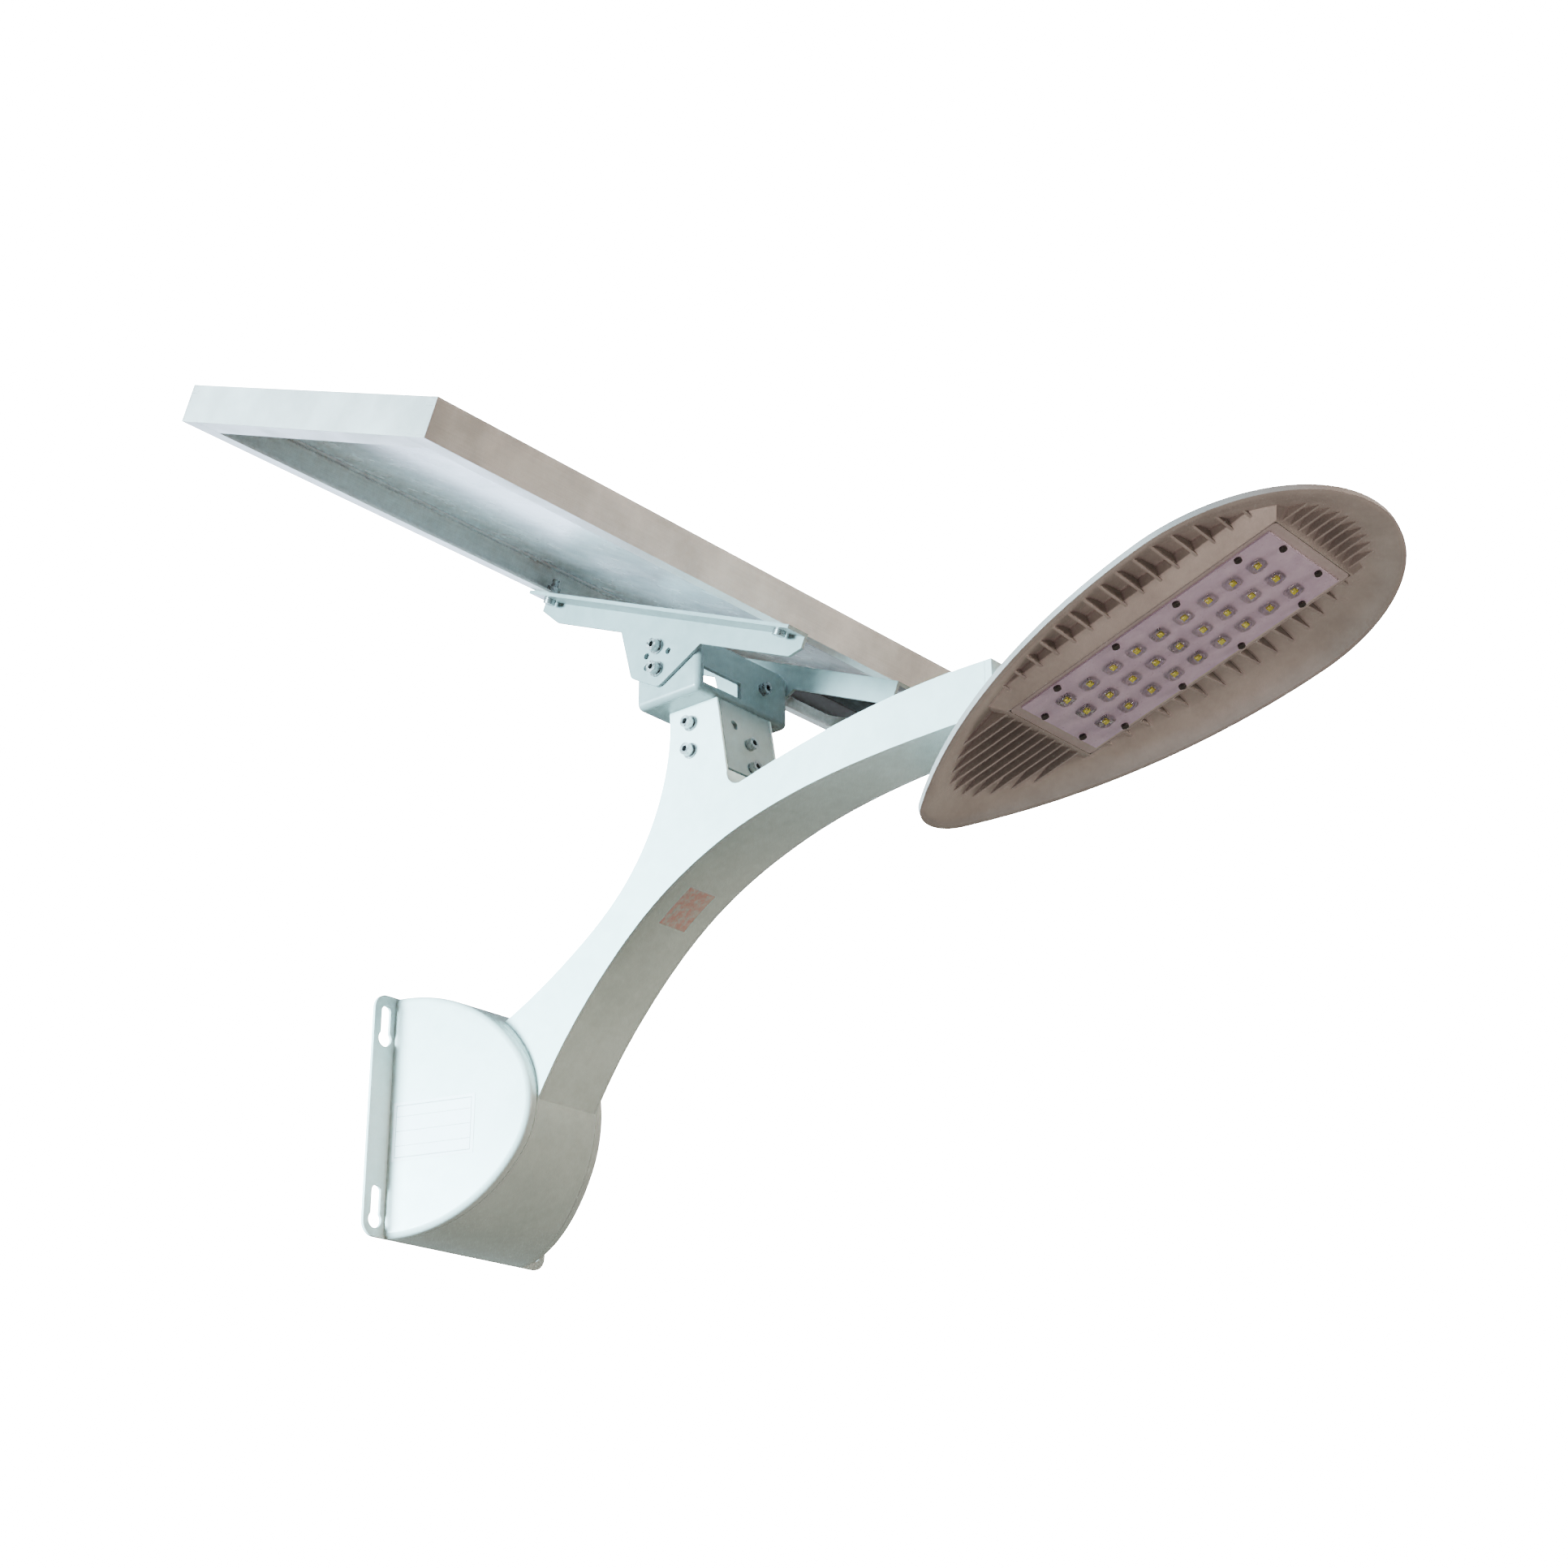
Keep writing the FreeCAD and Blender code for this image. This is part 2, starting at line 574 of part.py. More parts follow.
def stem_shape():
    """Channel inside the post: two side plates and a sloping front web behind the cover."""
    half = arm_half - arm_wall - dim("stem_gap")
    thick = dim("stem_thick")
    drop = dim("stem_drop")
    setback = dim("cover_thick") + dim("stem_gap")
    back_x = dim("post_back_x") + dim("stem_back")
    top_z = dim("post_top_z")
    channel = Part.makeBox(100, 2 * half, 2 * drop, Vector(-100 - setback, -half, -1.5 * drop))
    channel.Placement = COVER_PLACE
    channel = channel.common(Part.makeBox(200, 2 * half, drop, Vector(back_x, -half, top_z - drop)))
    hollow = Part.makeBox(100, 2 * (half - thick), 3 * drop,
                          Vector(-100 - setback - thick, -half + thick, -2 * drop))
    hollow.Placement = COVER_PLACE
    channel = channel.cut(hollow)
    for hole in bolt_holes:
        channel = channel.cut(hole)
    for k in range(2):
        level = dim("front_bolt_low") + k * dim("front_bolt_pitch") - top_z
        hole = Part.makeCylinder((dim("bolt") + dim("hole_gap")) / 2, 40, Vector(-30, 0, level),
                                 Vector(1, 0, 0))
        hole.Placement = COVER_PLACE
        channel = channel.cut(hole)
    return channel


piece("saddle_stem", shaped(stem_shape()))

cover = block("-cover_thick", "-cover_width/2", "-cover_drop+1", "cover_thick", "cover_width",
              "cover_drop-1")
cover_tools = [
    rod("x", "bolt+hole_gap", "-20", "0", "front_bolt_low+%d*front_bolt_pitch-post_top_z" % k, "40")
    for k in range(2)]
cover_tools.append(rod("x", "bolt+2", "-20", "spare_hole_y", "spare_hole_z-post_top_z", "40"))
piece("post_cover", cut(cover, *cover_tools), frame=on_cover)


def saddle_shape():
    """Folded saddle: floor, two cheeks with a tilt slot, and a front wall with a window."""
    half = dim("saddle_width") / 2
    wall = dim("saddle_thick")
    back, front = dim("saddle_back"), dim("saddle_front")
    floor, top = dim("post_top_z"), dim("saddle_top")
    pivot = xz(dim("pivot_x"), dim("pivot_z"))
    body = Part.makeBox(front - back, 2 * half, top - floor, Vector(back, -half, floor))
    folds = [edge for edge in body.Edges if
             (abs(edge.CenterOfMass.z - floor) < 0.01 and abs(abs(edge.CenterOfMass.y) - half) < 0.01)
             or (abs(edge.CenterOfMass.x - front) < 0.01 and
                 abs(abs(edge.CenterOfMass.y) - half) < 0.01)
             or (abs(edge.CenterOfMass.x - front) < 0.01 and abs(edge.CenterOfMass.z - floor) < 0.01)]
    body = body.makeFillet(wall + 2, folds)
    hollow = Part.makeBox(front - back - wall + 1, 2 * (half - wall), top - floor,
                          Vector(back - 1, -half + wall, floor + wall))
    inner = [edge for edge in hollow.Edges if
             (abs(edge.CenterOfMass.z - floor - wall) < 0.01
              and abs(abs(edge.CenterOfMass.y) - half + wall) < 0.01)
             or (abs(edge.CenterOfMass.x - front + wall) < 0.01
                 and edge.CenterOfMass.z > floor + wall + 0.01
                 and abs(edge.CenterOfMass.z - top - wall) > 0.01)
             or (abs(edge.CenterOfMass.x - front + wall) < 0.01
                 and abs(edge.CenterOfMass.z - floor - wall) < 0.01)]
    hollow = hollow.makeFillet(2, inner)
    body = body.cut(hollow)
    boss = Part.makeCylinder(20, 2 * half, pivot - Vector(0, half, 0), Vector(0, 1, 0))
    boss = boss.cut(Part.makeBox(200, 2 * (half - wall), 200, Vector(250, -half + wall, 350)))
    body = body.fuse(boss)
    for side in (-1, 1):
        corner = Part.makeBox(2 * wall + 1, dim("saddle_corner"), dim("saddle_corner"),
                              Vector(front - 2 * wall, -dim("saddle_corner") / 2,
                                     top - dim("saddle_corner")))
        corner.translate(Vector(0, side * (half - dim("saddle_corner") / 2), 0))
        round_off = Part.makeCylinder(
            dim("saddle_corner"), 3 * wall,
            Vector(front - 2.5 * wall, side * (half - dim("saddle_corner")),
                   top - dim("saddle_corner")), Vector(1, 0, 0))
        body = body.cut(corner.cut(round_off))
    slot_low = Part.makeBox(40, dim("window_width"), dim("window_height"),
                            Vector(front - 20, -half + wall + 4, dim("window_z")))
    body = body.cut(slot_low)
    body = body.cut(Part.makeCylinder((dim("bolt") + dim("hole_gap")) / 2, 40,
                                      Vector(front - 20, dim("front_hole_y"), dim("front_hole_z")),
                                      Vector(1, 0, 0)))
    body = body.cut(Part.makeCylinder((dim("bolt") + 0.1) / 2, 2 * half + 20,
                                      pivot - Vector(0, half + 10, 0), Vector(0, 1, 0)))
    reach = math.radians(max(dim("tilt_down"), dim("tilt_up")) + 2)
    slot_r = (dim("bolt") + dim("hole_gap")) / 2
    for tool in arc_slots(pivot, half, reach, slot_r):
        body = body.cut(tool)
    return body


def arc_slots(pivot, half, reach, slot_r):
    """Curved slots about the pivot that let the lock bolts travel."""
    radius = dim("lock_radius")
    tools = []
    for y0 in (-half - 5, half - 10):
        def at(r, turn):
            return xz(pivot.x - r * math.sin(turn), pivot.z - r * math.cos(turn), y0)
        outer, inner = radius + slot_r, radius - slot_r
        wire = Part.Wire([
            arc(at(outer, -reach), at(outer, 0), at(outer, reach)),
            arc(at(outer, reach), at(radius, reach) + xz(-slot_r * math.cos(reach),
                                                         slot_r * math.sin(reach)),
                at(inner, reach)),
            arc(at(inner, reach), at(inner, 0), at(inner, -reach)),
            arc(at(inner, -reach), at(radius, -reach) + xz(slot_r * math.cos(reach),
                                                           slot_r * math.sin(reach)),
                at(outer, -reach)),
        ])
        tools.append(Part.Face(wire).extrude(Vector(0, 15, 0)))
    return tools


piece("saddle", shaped(saddle_shape()))


def bolt(axis_sign, x, y, z, grip):
    """Socket-head bolt along Y: head outside at y, shank running inward."""
    start = y if axis_sign > 0 else "(%s)-(%s)" % (y, grip)
    head_y = "(%s)-bolt_head_high" % y if axis_sign > 0 else y
    head = cut(rod("y", "bolt_head", x, head_y, z, "bolt_head_high"),
               hexagon("y", "6", x, "(%s)-4" % head_y if axis_sign > 0 else
                       "(%s)+bolt_head_high-4" % head_y, z, "8"))
    return fuse(rod("y", "bolt", x, start, z, grip), head)


def ring(axis, outer, inner, x, y, z, thick):
    """Washer between planes."""
    if axis == "y":
        bore = rod("y", inner, x, "(%s)-1" % y, z, "(%s)+2" % thick)
    else:
        bore = rod("x", inner, "(%s)-1" % x, y, z, "(%s)+2" % thick)
    return cut(rod(axis, outer, x, y, z, thick), bore)


def nut(axis, x, y, z):
    """Hexagon nut with its bolt hole."""
    if axis == "y":
        bore = rod("y", "bolt", x, "(%s)-1" % y, z, "nut_high+2")
    else:
        bore = rod("x", "bolt", "(%s)-1" % x, y, z, "nut_high+2")
    return cut(hexagon(axis, "nut_flats", x, y, z, "nut_high"), bore)


bolts, washers, nuts = [], [], []
inside = "arm_width/2-arm_wall-stem_gap-stem_thick"
for k in range(2):
    z = "side_bolt_low+%d*side_bolt_pitch" % k
    grip = "washer_thick+arm_wall+stem_gap+stem_thick+nut_high+1"
    bolts.append(bolt(1, "side_bolt_x", "-arm_width/2-washer_thick", z, grip))
    bolts.append(bolt(-1, "side_bolt_x", "arm_width/2+washer_thick", z, grip))
    washers.append(ring("y", "washer", "bolt+hole_gap", "side_bolt_x", "-arm_width/2-washer_thick",
                        z, "washer_thick"))
    washers.append(ring("y", "washer", "bolt+hole_gap", "side_bolt_x", "arm_width/2", z,
                        "washer_thick"))
    nuts.append(nut("y", "side_bolt_x", "-(%s)" % inside, z))
    nuts.append(nut("y", "side_bolt_x", "%s-nut_high" % inside, z))
piece("stem_bolts", *bolts)
piece("stem_washers", *washers)
piece("stem_nuts", *nuts)

front_bolts, front_nuts = [], []
for k in range(2):
    z = "front_bolt_low+%d*front_bolt_pitch-post_top_z" % k
    head = cut(rod("x", "bolt_head", "0", "0", z, "bolt_head_high"),
               hexagon("x", "6", "bolt_head_high-4", "0", z, "8"))
    inward = "cover_thick+stem_gap+stem_thick"
    front_bolts.append(fuse(rod("x", "bolt", "-(%s)-nut_high-1" % inward, "0", z,
                                "%s+nut_high+1" % inward), head))
    front_nuts.append(nut("x", "-(%s)-nut_high" % inward, "0", z))
piece("cover_bolts", *front_bolts, frame=on_cover)
piece("cover_nuts", *front_nuts, frame=on_cover)
piece("saddle_bolt", fuse(
    rod("x", "bolt", "saddle_front-saddle_thick-nut_high-2", "front_hole_y", "front_hole_z",
        "saddle_thick+nut_high+2"),
    cut(rod("x", "bolt_head", "saddle_front", "front_hole_y", "front_hole_z", "bolt_head_high"),
        hexagon("x", "6", "saddle_front+bolt_head_high-4", "front_hole_y", "front_hole_z", "8"))))
piece("saddle_nut", nut("x", "saddle_front-saddle_thick-nut_high", "front_hole_y", "front_hole_z"))


# ---------------------------------------------------------------- tilt brackets
SLOPE = math.radians(dim("panel_tilt"))
UP_SLOPE = xz(-math.cos(SLOPE), math.sin(SLOPE))
SUNWARD = xz(math.sin(SLOPE), math.cos(SLOPE))
LOW_EDGE = xz(dim("panel_edge_x"), dim("panel_edge_z"))


def on_panel(u, n, y=0):
    """Point u up the slope and n above the panel's underside."""
    point = LOW_EDGE + UP_SLOPE * u + SUNWARD * n
    return Vector(point.x, y, point.z)


PIVOT = xz(dim("pivot_x"), dim("pivot_z"))
PIVOT_U = (PIVOT - LOW_EDGE).dot(UP_SLOPE)
PIVOT_N = (PIVOT - LOW_EDGE).dot(SUNWARD)
ear_y = dim("saddle_width") / 2 + dim("ear_gap")


def tilt_bracket():
    """Near tilt bracket: an angle under the panel with a tapered ear and index holes."""
    thick = dim("bracket_thick")
    web = dim("bracket_web")
    over = dim("bracket_over")
    length = dim("panel_width") + 2 * over
    y0 = -ear_y - thick
    top_half = dim("ear_top_half")
    foot_half = dim("ear_foot_half")
    drop = PIVOT_N - dim("lock_radius") - 12
    outline = [
        on_panel(-over, 0, y0), on_panel(length - over, 0, y0),
        on_panel(length - over, -web * 0.6, y0), on_panel(length - over - 30, -web, y0),
        on_panel(PIVOT_U + top_half, -web, y0), on_panel(PIVOT_U + foot_half + 4, drop, y0),
        on_panel(PIVOT_U - foot_half, drop - 4, y0), on_panel(PIVOT_U - top_half, -web, y0),
        on_panel(-over + 14, -web, y0), on_panel(-over, -web * 0.6, y0),
        on_panel(-over, 0, y0)]
    plate = Part.Face(Part.makePolygon(outline)).extrude(Vector(0, thick, 0))
    corners = [edge for edge in plate.Edges
               if abs(abs(edge.tangentAt(edge.FirstParameter).y) - 1) < 0.01
               and (Vector(edge.CenterOfMass.x, 0, edge.CenterOfMass.z)
                    - LOW_EDGE).dot(SUNWARD) < drop + 1]
    plate = plate.makeFillet(9, corners)
    ledge = [on_panel(-over, 0, y0), on_panel(length - over, 0, y0),
             on_panel(length - over, -thick, y0), on_panel(-over, -thick, y0),
             on_panel(-over, 0, y0)]
    ledge = Part.Face(Part.makePolygon(ledge)).extrude(Vector(0, -dim("bracket_flange"), 0))
    shape = plate.fuse(ledge).removeSplitter()
    lock = dim("lock_radius")
    fits = [(0, 0, dim("bolt") + dim("hole_gap")), (0, lock, dim("bolt") + dim("hole_gap"))]
    fits += [(lock * 0.62 * math.sin(math.radians(a)), lock * 0.5 + lock * 0.62 * math.cos(
        math.radians(a)), 7) for a in (66, 114, 258)]
    for back, down, size in fits:
        centre = xz(PIVOT.x - back, PIVOT.z - down, y0 - 5)
        shape = shape.cut(Part.makeCylinder(size / 2, thick + 10, centre, Vector(0, 1, 0)))
    for u in CLAMP_U:
        hole = Part.makeCylinder((dim("bolt") + dim("hole_gap")) / 2, 20,
                                 on_panel(u, -12, y0 - dim("bracket_flange") / 2), SUNWARD)
        shape = shape.cut(hole)
    return shape


CLAMP_U = (dim("rail_flange") / 2 + 1, dim("panel_width") - dim("rail_flange") / 2 - 1)
bracket = tilt_bracket()
piece("tilt_bracket_near", shaped(bracket))
piece("tilt_bracket_far", shaped(mirrored(bracket)))

ear_out = "saddle_width/2+ear_gap+bracket_thick"
pivot_bolts, lock_bolts, tilt_washers, pivot_nuts, lock_nuts = [], [], [], [], []
tilt_grip = "washer_thick+bracket_thick+ear_gap+saddle_thick+nut_high+2"
for side in (-1, 1):
    y = "%d*(%s+washer_thick)" % (side, ear_out)
    pivot_bolts.append(bolt(-side, "pivot_x", y, "pivot_z", tilt_grip))
    lock_bolts.append(bolt(-side, "pivot_x", y, "pivot_z-lock_radius", tilt_grip))
    wash_y = ear_out if side > 0 else "-(%s)-washer_thick" % ear_out
    for z in ("pivot_z", "pivot_z-lock_radius"):
        tilt_washers.append(ring("y", "washer", "bolt+hole_gap", "pivot_x", wash_y, z,
                                 "washer_thick"))
    inner = "saddle_width/2-saddle_thick-0.5"
    nut_y = "%s-nut_high" % inner if side > 0 else "-(%s)" % inner
    pivot_nuts.append(nut("y", "pivot_x", nut_y, "pivot_z"))
    lock_nuts.append(nut("y", "pivot_x", nut_y, "pivot_z-lock_radius"))
piece("pivot_bolts", *pivot_bolts)
piece("lock_bolts", *lock_bolts)
piece("tilt_washers", *tilt_washers)
piece("pivot_nuts", *pivot_nuts)
piece("lock_nuts", *lock_nuts)

clamp_bolts, clamp_nuts = [], []
for side in (-1, 1):
    y = side * (ear_y + dim("bracket_thick") + dim("bracket_flange") / 2)
    for u in CLAMP_U:
        shank = Part.makeCylinder(dim("bolt") / 2, 22, on_panel(u, -dim("bracket_thick"), y), SUNWARD)
        head = Part.makeCylinder(dim("bolt_head") / 2, 6, on_panel(u, -dim("bracket_thick") - 6, y),
                                 SUNWARD)
        clamp_bolts.append(shaped(shank.fuse(head)))
        washer = Part.makeCylinder(dim("washer") / 2 - 1, 7, on_panel(u, dim("rail_wall"), y), SUNWARD)
        bore = Part.makeCylinder(dim("bolt") / 2, 9, on_panel(u, dim("rail_wall") - 1, y), SUNWARD)
        clamp_nuts.append(shaped(washer.cut(bore)))
piece("clamp_bolts", *clamp_bolts)
piece("clamp_nuts", *clamp_nuts)


# ---------------------------------------------------------------- solar panel
rail_h = dim("rail_height")
rail_wall = dim("rail_wall")
panel_w = dim("panel_width")
panel_y0 = dim("panel_offset") - dim("panel_length") / 2
panel_y1 = dim("panel_offset") + dim("panel_length") / 2
seat_n = rail_h - dim("glass_thick") - dim("cell_thick") - dim("sheet_thick") - rail_wall * 0.6


def rail_outline():
    """Section of a frame rail: outer wall, foot flange, glass shelf and a top lip (across, up)."""
    lip = dim("rail_lip")
    foot = dim("rail_flange")
    return [(0, 0), (foot, 0), (foot, rail_wall), (rail_wall, rail_wall),
            (rail_wall, seat_n - rail_wall), (lip + 3, seat_n - rail_wall), (lip + 3, seat_n),
            (rail_wall, seat_n), (rail_wall, rail_h - rail_wall * 0.6),
            (lip, rail_h - rail_wall * 0.6), (lip, rail_h), (0, rail_h), (0, 0)]


def long_rail(high):
    """Frame rail along Y on the low or the high edge."""
    points = [on_panel(panel_w - a if high else a, b, panel_y0) for a, b in rail_outline()]
    return Part.Face(Part.makePolygon(points)).extrude(Vector(0, panel_y1 - panel_y0, 0))


def short_rail(far):
    """Frame rail up the slope, let in between the long ones."""
    start = rail_wall + 0.05
    points = []
    for a, b in rail_outline():
        points.append(on_panel(start, b, panel_y1 - a if far else panel_y0 + a))
    return Part.Face(Part.makePolygon(points)).extrude(UP_SLOPE * (panel_w - 2 * start))


low_rail = long_rail(False)
high_rail = long_rail(True)
for u, is_high in ((CLAMP_U[0], False), (CLAMP_U[1], True)):
    for side in (-1, 1):
        y = side * (ear_y + dim("bracket_thick") + dim("bracket_flange") / 2)
        hole = Part.makeCylinder((dim("bolt") + dim("hole_gap")) / 2, 12, on_panel(u, -4, y), SUNWARD)
        if is_high:
            high_rail = high_rail.cut(hole)
        else:
            low_rail = low_rail.cut(hole)
end_rails = []
for far in (False, True):
    rail = short_rail(far)
    rail = rail.cut(low_rail).cut(high_rail)
    largest = max(rail.Solids, key=lambda solid: solid.Volume)
    end_rails.append(largest)
piece("panel_rail_low", shaped(low_rail))
piece("panel_rail_high", shaped(high_rail))
piece("panel_rail_near", shaped(end_rails[0]))
piece("panel_rail_far", shaped(end_rails[1]))


def layer(name, inset, low, thick, bottom=0):
    """A flat layer of the laminate, inset from the frame's outside."""
    gap = rail_wall + dim("glass_gap") + inset
    points = [on_panel(gap, low, panel_y0 + gap), on_panel(panel_w - gap, low, panel_y0 + gap),
              on_panel(panel_w - gap, low, panel_y1 - gap), on_panel(gap, low, panel_y1 - gap),
              on_panel(gap, low, panel_y0 + gap)]
    piece(name, shaped(Part.Face(Part.makePolygon(points)).extrude(SUNWARD * thick)))


layer("backsheet", 0, seat_n, dim("sheet_thick"))
layer("solar_cells", dim("cell_margin"), seat_n + dim("sheet_thick"), dim("cell_thick"))
layer("panel_glass", 0, seat_n + dim("sheet_thick") + dim("cell_thick"), dim("glass_thick"))
low_n = seat_n - dim("junction_height")
corner_u, corner_y = dim("junction_u"), dim("junction_y")
far_u, far_y = corner_u + dim("junction_width"), corner_y + dim("junction_length")
junction = Part.Face(Part.makePolygon([
    on_panel(corner_u, low_n, corner_y), on_panel(far_u, low_n, corner_y),
    on_panel(far_u, low_n, far_y), on_panel(corner_u, low_n, far_y),
    on_panel(corner_u, low_n, corner_y)])).extrude(SUNWARD * dim("junction_height"))
junction = junction.makeFillet(3, [
    edge for edge in junction.Edges if abs(edge.tangentAt(edge.FirstParameter).dot(SUNWARD)) > 0.99])
piece("junction_box", shaped(junction))


# ---------------------------------------------------------------- lamp head
def leaf_wire(share, n):
    """Leaf outline of the head at height n: round tip, long side arcs and a small heel."""
    tip_r = dim("tip_radius")
    side_r = dim("side_radius")
    heel_r = dim("heel_radius")
    tip = Vector(dim("tip_u"), 0, 0)
    heel = Vector(dim("heel_u"), 0, 0)
    side = Vector(dim("tip_u"), tip_r - side_r, 0)
    top = Vector(dim("tip_u"), tip_r, 0)
    heel_join = on_circle(side, side_r, heel)
    mid = on_circle(side, side_r, (top + heel_join) * 0.5)

    def flip(point):
        return Vector(point.x, -point.y, point.z)

    edges = [
        arc(flip(top), tip + Vector(tip_r, 0, 0), top),
        arc(top, mid, heel_join),
        arc(heel_join, heel - Vector(heel_r, 0, 0), flip(heel_join)),
        arc(flip(heel_join), flip(mid), flip(top)),
    ]
    wire = Part.Wire(edges)
    matrix = Matrix()
    centre = Vector(-8, 0, 0)
    matrix.move(centre * -1)
    matrix.scale(share, share, 1)
    matrix.move(centre)
    matrix.move(Vector(0, 0, n))
    return wire.transformGeometry(matrix) if share != 1 else wire.transformed(matrix)


# Leaf sections of the casting as (share of the full outline, height): the domed outside from the
# rim up to the flat crown, and the dish under it.
DOME = [(1, -dim("rim_drop")), (1, -2), (0.95, 4), (0.9, 9.5), (0.83, 16.5), (0.76, 22), (0.7, 26),
        (0.66, dim("head_height"))]
DISH = [(0.97, -dim("rim_drop")), (0.93, -4), (0.86, 4.5), (0.79, 12), (0.72, 18.5), (0.66, 22),
        (0.56, dim("recess_top"))]


def leaf_loft(sections):
    """Solid through leaf outlines at rising heights."""
    return Part.makeLoft([leaf_wire(share, n) for share, n in sections], True, True)


def upright_prism(points, start, across):
    """Face through points, carried along a vector from a start offset."""
    shift = [point + start for point in points]
    return Part.Face(Part.makePolygon(shift + shift[:1])).extrude(across)


def seat_block():
    """Seat of the LED plate: a block whose sloping shoulders widen away from the plate."""
    half_u = dim("plate_length") / 2 + dim("seat_border")
    half_v = dim("plate_width") / 2 + dim("seat_border")
    out = dim("shoulder_out")
    rise = dim("shoulder_rise")

    def outline(grow, n):
        u, v = half_u + grow, half_v + grow
        corners = [Vector(-u, -v, n), Vector(u, -v, n), Vector(u, v, n), Vector(-u, v, n)]
        return Part.makePolygon(corners + corners[:1])

    shoulder = Part.makeLoft([outline(0, 0), outline(out, rise)], True, True)
    block = Part.makeBox(2 * (half_u + out), 2 * (half_v + out), 40,
                         Vector(-half_u - out, -half_v - out, rise))
    return shoulder.fuse(block)


def cooling_fins():
    """Fins across the long sides and along both ends, before they are trimmed to the dish."""
    fin = dim("fin_thick")
    low = dim("fin_low")
    out = dim("fin_out")
    rise = dim("fin_out_rise")
    start = dim("plate_width") / 2
    top = 40
    blades = []
    count = int(dim("plate_length") / dim("fin_pitch"))
    for k in range(count):
        u = (k - (count - 1) / 2) * dim("fin_pitch") - fin / 2
        for side in (-1, 1):
            blade = [Vector(0, side * start, low), Vector(0, side * (start + out), rise),
                     Vector(0, side * (start + 2 * out), rise), Vector(0, side * (start + 2 * out), top),
                     Vector(0, side * start, top)]
            blades.append(upright_prism(blade, Vector(u, 0, 0), Vector(fin, 0, 0)))
    half = dim("plate_length") / 2
    ends = int(dim("plate_width") / dim("end_fin_pitch"))
    for k in range(ends):
        v = (k - (ends - 1) / 2) * dim("end_fin_pitch") - fin / 2
        blades.append(Part.makeBox(170, fin, top, Vector(-half - 170, v, dim("heel_fin_low"))))
        blades.append(Part.makeBox(90, fin, top, Vector(half, v, dim("tip_fin_low"))))
    return blades


def head_casting():
    """Die-cast body: domed leaf shell, dished underside, a seat and cooling fins."""
    dish = leaf_loft(DISH)
    body = leaf_loft(DOME).cut(dish)
    inside = [solid.common(dish) for solid in [seat_block()] + cooling_fins()]
    body = body.multiFuse(inside)
    pocket = Part.makeBox(dim("plate_length") + 1, dim("plate_width") + 1, 40,
                          Vector(-dim("plate_length") / 2 - 0.5, -dim("plate_width") / 2 - 0.5,
                                 dim("plate_thick") - 40))
    body = body.cut(pocket)
    return max(body.Solids, key=lambda solid: solid.Volume)


casting = head_casting()
piece("lamp_housing", shaped(casting), frame=head_frame)


def at_head(u, v, n, length, width, height):
    """Box in the lamp frame from its low corner."""
    return Part.makeBox(length, width, height, Vector(u, v, n))


screw_spots = [(u * dim("led_screw_pitch"), v * (dim("board_width") / 2 - dim("led_screw_edge")))
               for u in (-1.5, -0.5, 0.5, 1.5) for v in (-1, 1)]
screw_spots += [(u * (dim("board_length") / 2 - dim("led_screw_edge")), v * dim("end_screw_side"))
                for u in (-1, 1) for v in (-1, 1)]


def screw_tools(low, high, size):
    """Cylinders at the LED screws between two heights."""
    return [Part.makeCylinder(size / 2, high - low, Vector(u, v, low)) for u, v in screw_spots]


plate_half = dim("plate_length") / 2
plate = at_head(-plate_half, -dim("plate_width") / 2, 0, dim("plate_length"), dim("plate_width"),
                dim("plate_thick"))
plate = plate.makeFillet(4, [edge for edge in plate.Edges if abs(edge.tangentAt(0).z) > 0.99])
for tool in screw_tools(-1, dim("plate_thick") + 1, dim("screw")):
    plate = plate.cut(tool)
piece("led_plate", shaped(plate), frame=head_frame)

board_low = -dim("board_thick")
board = at_head(-dim("board_length") / 2, -dim("board_width") / 2, board_low, dim("board_length"),
                dim("board_width"), dim("board_thick"))
for tool in screw_tools(board_low - 1, 1, dim("screw")):
    board = board.cut(tool)
piece("led_board", shaped(board), frame=head_frame)
led_screws = []
for u, v in screw_spots:
    shank = Part.makeCylinder(dim("screw") / 2, dim("board_thick") + dim("plate_thick"),
                              Vector(u, v, board_low))
    head = Part.makeCylinder(dim("screw_head") / 2, dim("screw_head_high"),
                             Vector(u, v, board_low - dim("screw_head_high")))
    led_screws.append(shaped(shank.fuse(head)))
piece("led_screws", *led_screws, frame=head_frame)

lens_r = dim("lens_radius")
lens_high = lens_r * 0.62
ball_r = (lens_r ** 2 + lens_high ** 2) / (2 * lens_high)
lens = Part.makeSphere(ball_r, Vector(0, 0, board_low - lens_high + ball_r))
lens = lens.common(at_head(-20, -20, board_low - 20, 40, 40, 20))
lens = lens.cut(Part.makeCylinder(dim("lens_pocket"), 1.6, Vector(0, 0, board_low - 1.6)))
chip = at_head(-dim("chip_side") / 2, -dim("chip_side") / 2, board_low - dim("chip_thick"),
               dim("chip_side"), dim("chip_side"), dim("chip_thick"))
lenses, chips = [], []
for row in range(int(dim("led_rows"))):
    for column in range(int(dim("led_columns"))):
        place = Vector((row - (dim("led_rows") - 1) / 2) * dim("led_row_pitch"),
                       (column - (dim("led_columns") - 1) / 2) * dim("led_column_pitch"), 0)
        lenses.append(shaped(lens.translated(place)))
        chips.append(shaped(chip.translated(place)))
piece("led_lenses", *lenses, frame=head_frame)
piece("led_chips", *chips, frame=head_frame)

# driver, its cover and gasket on top of the casting
top = dim("head_height")
lid_back = dim("cover_back")
lid_length = dim("cover_length")
lid_width = dim("cover_wide")
lip = dim("cover_lip")
gasket_thick = dim("gasket_thick")


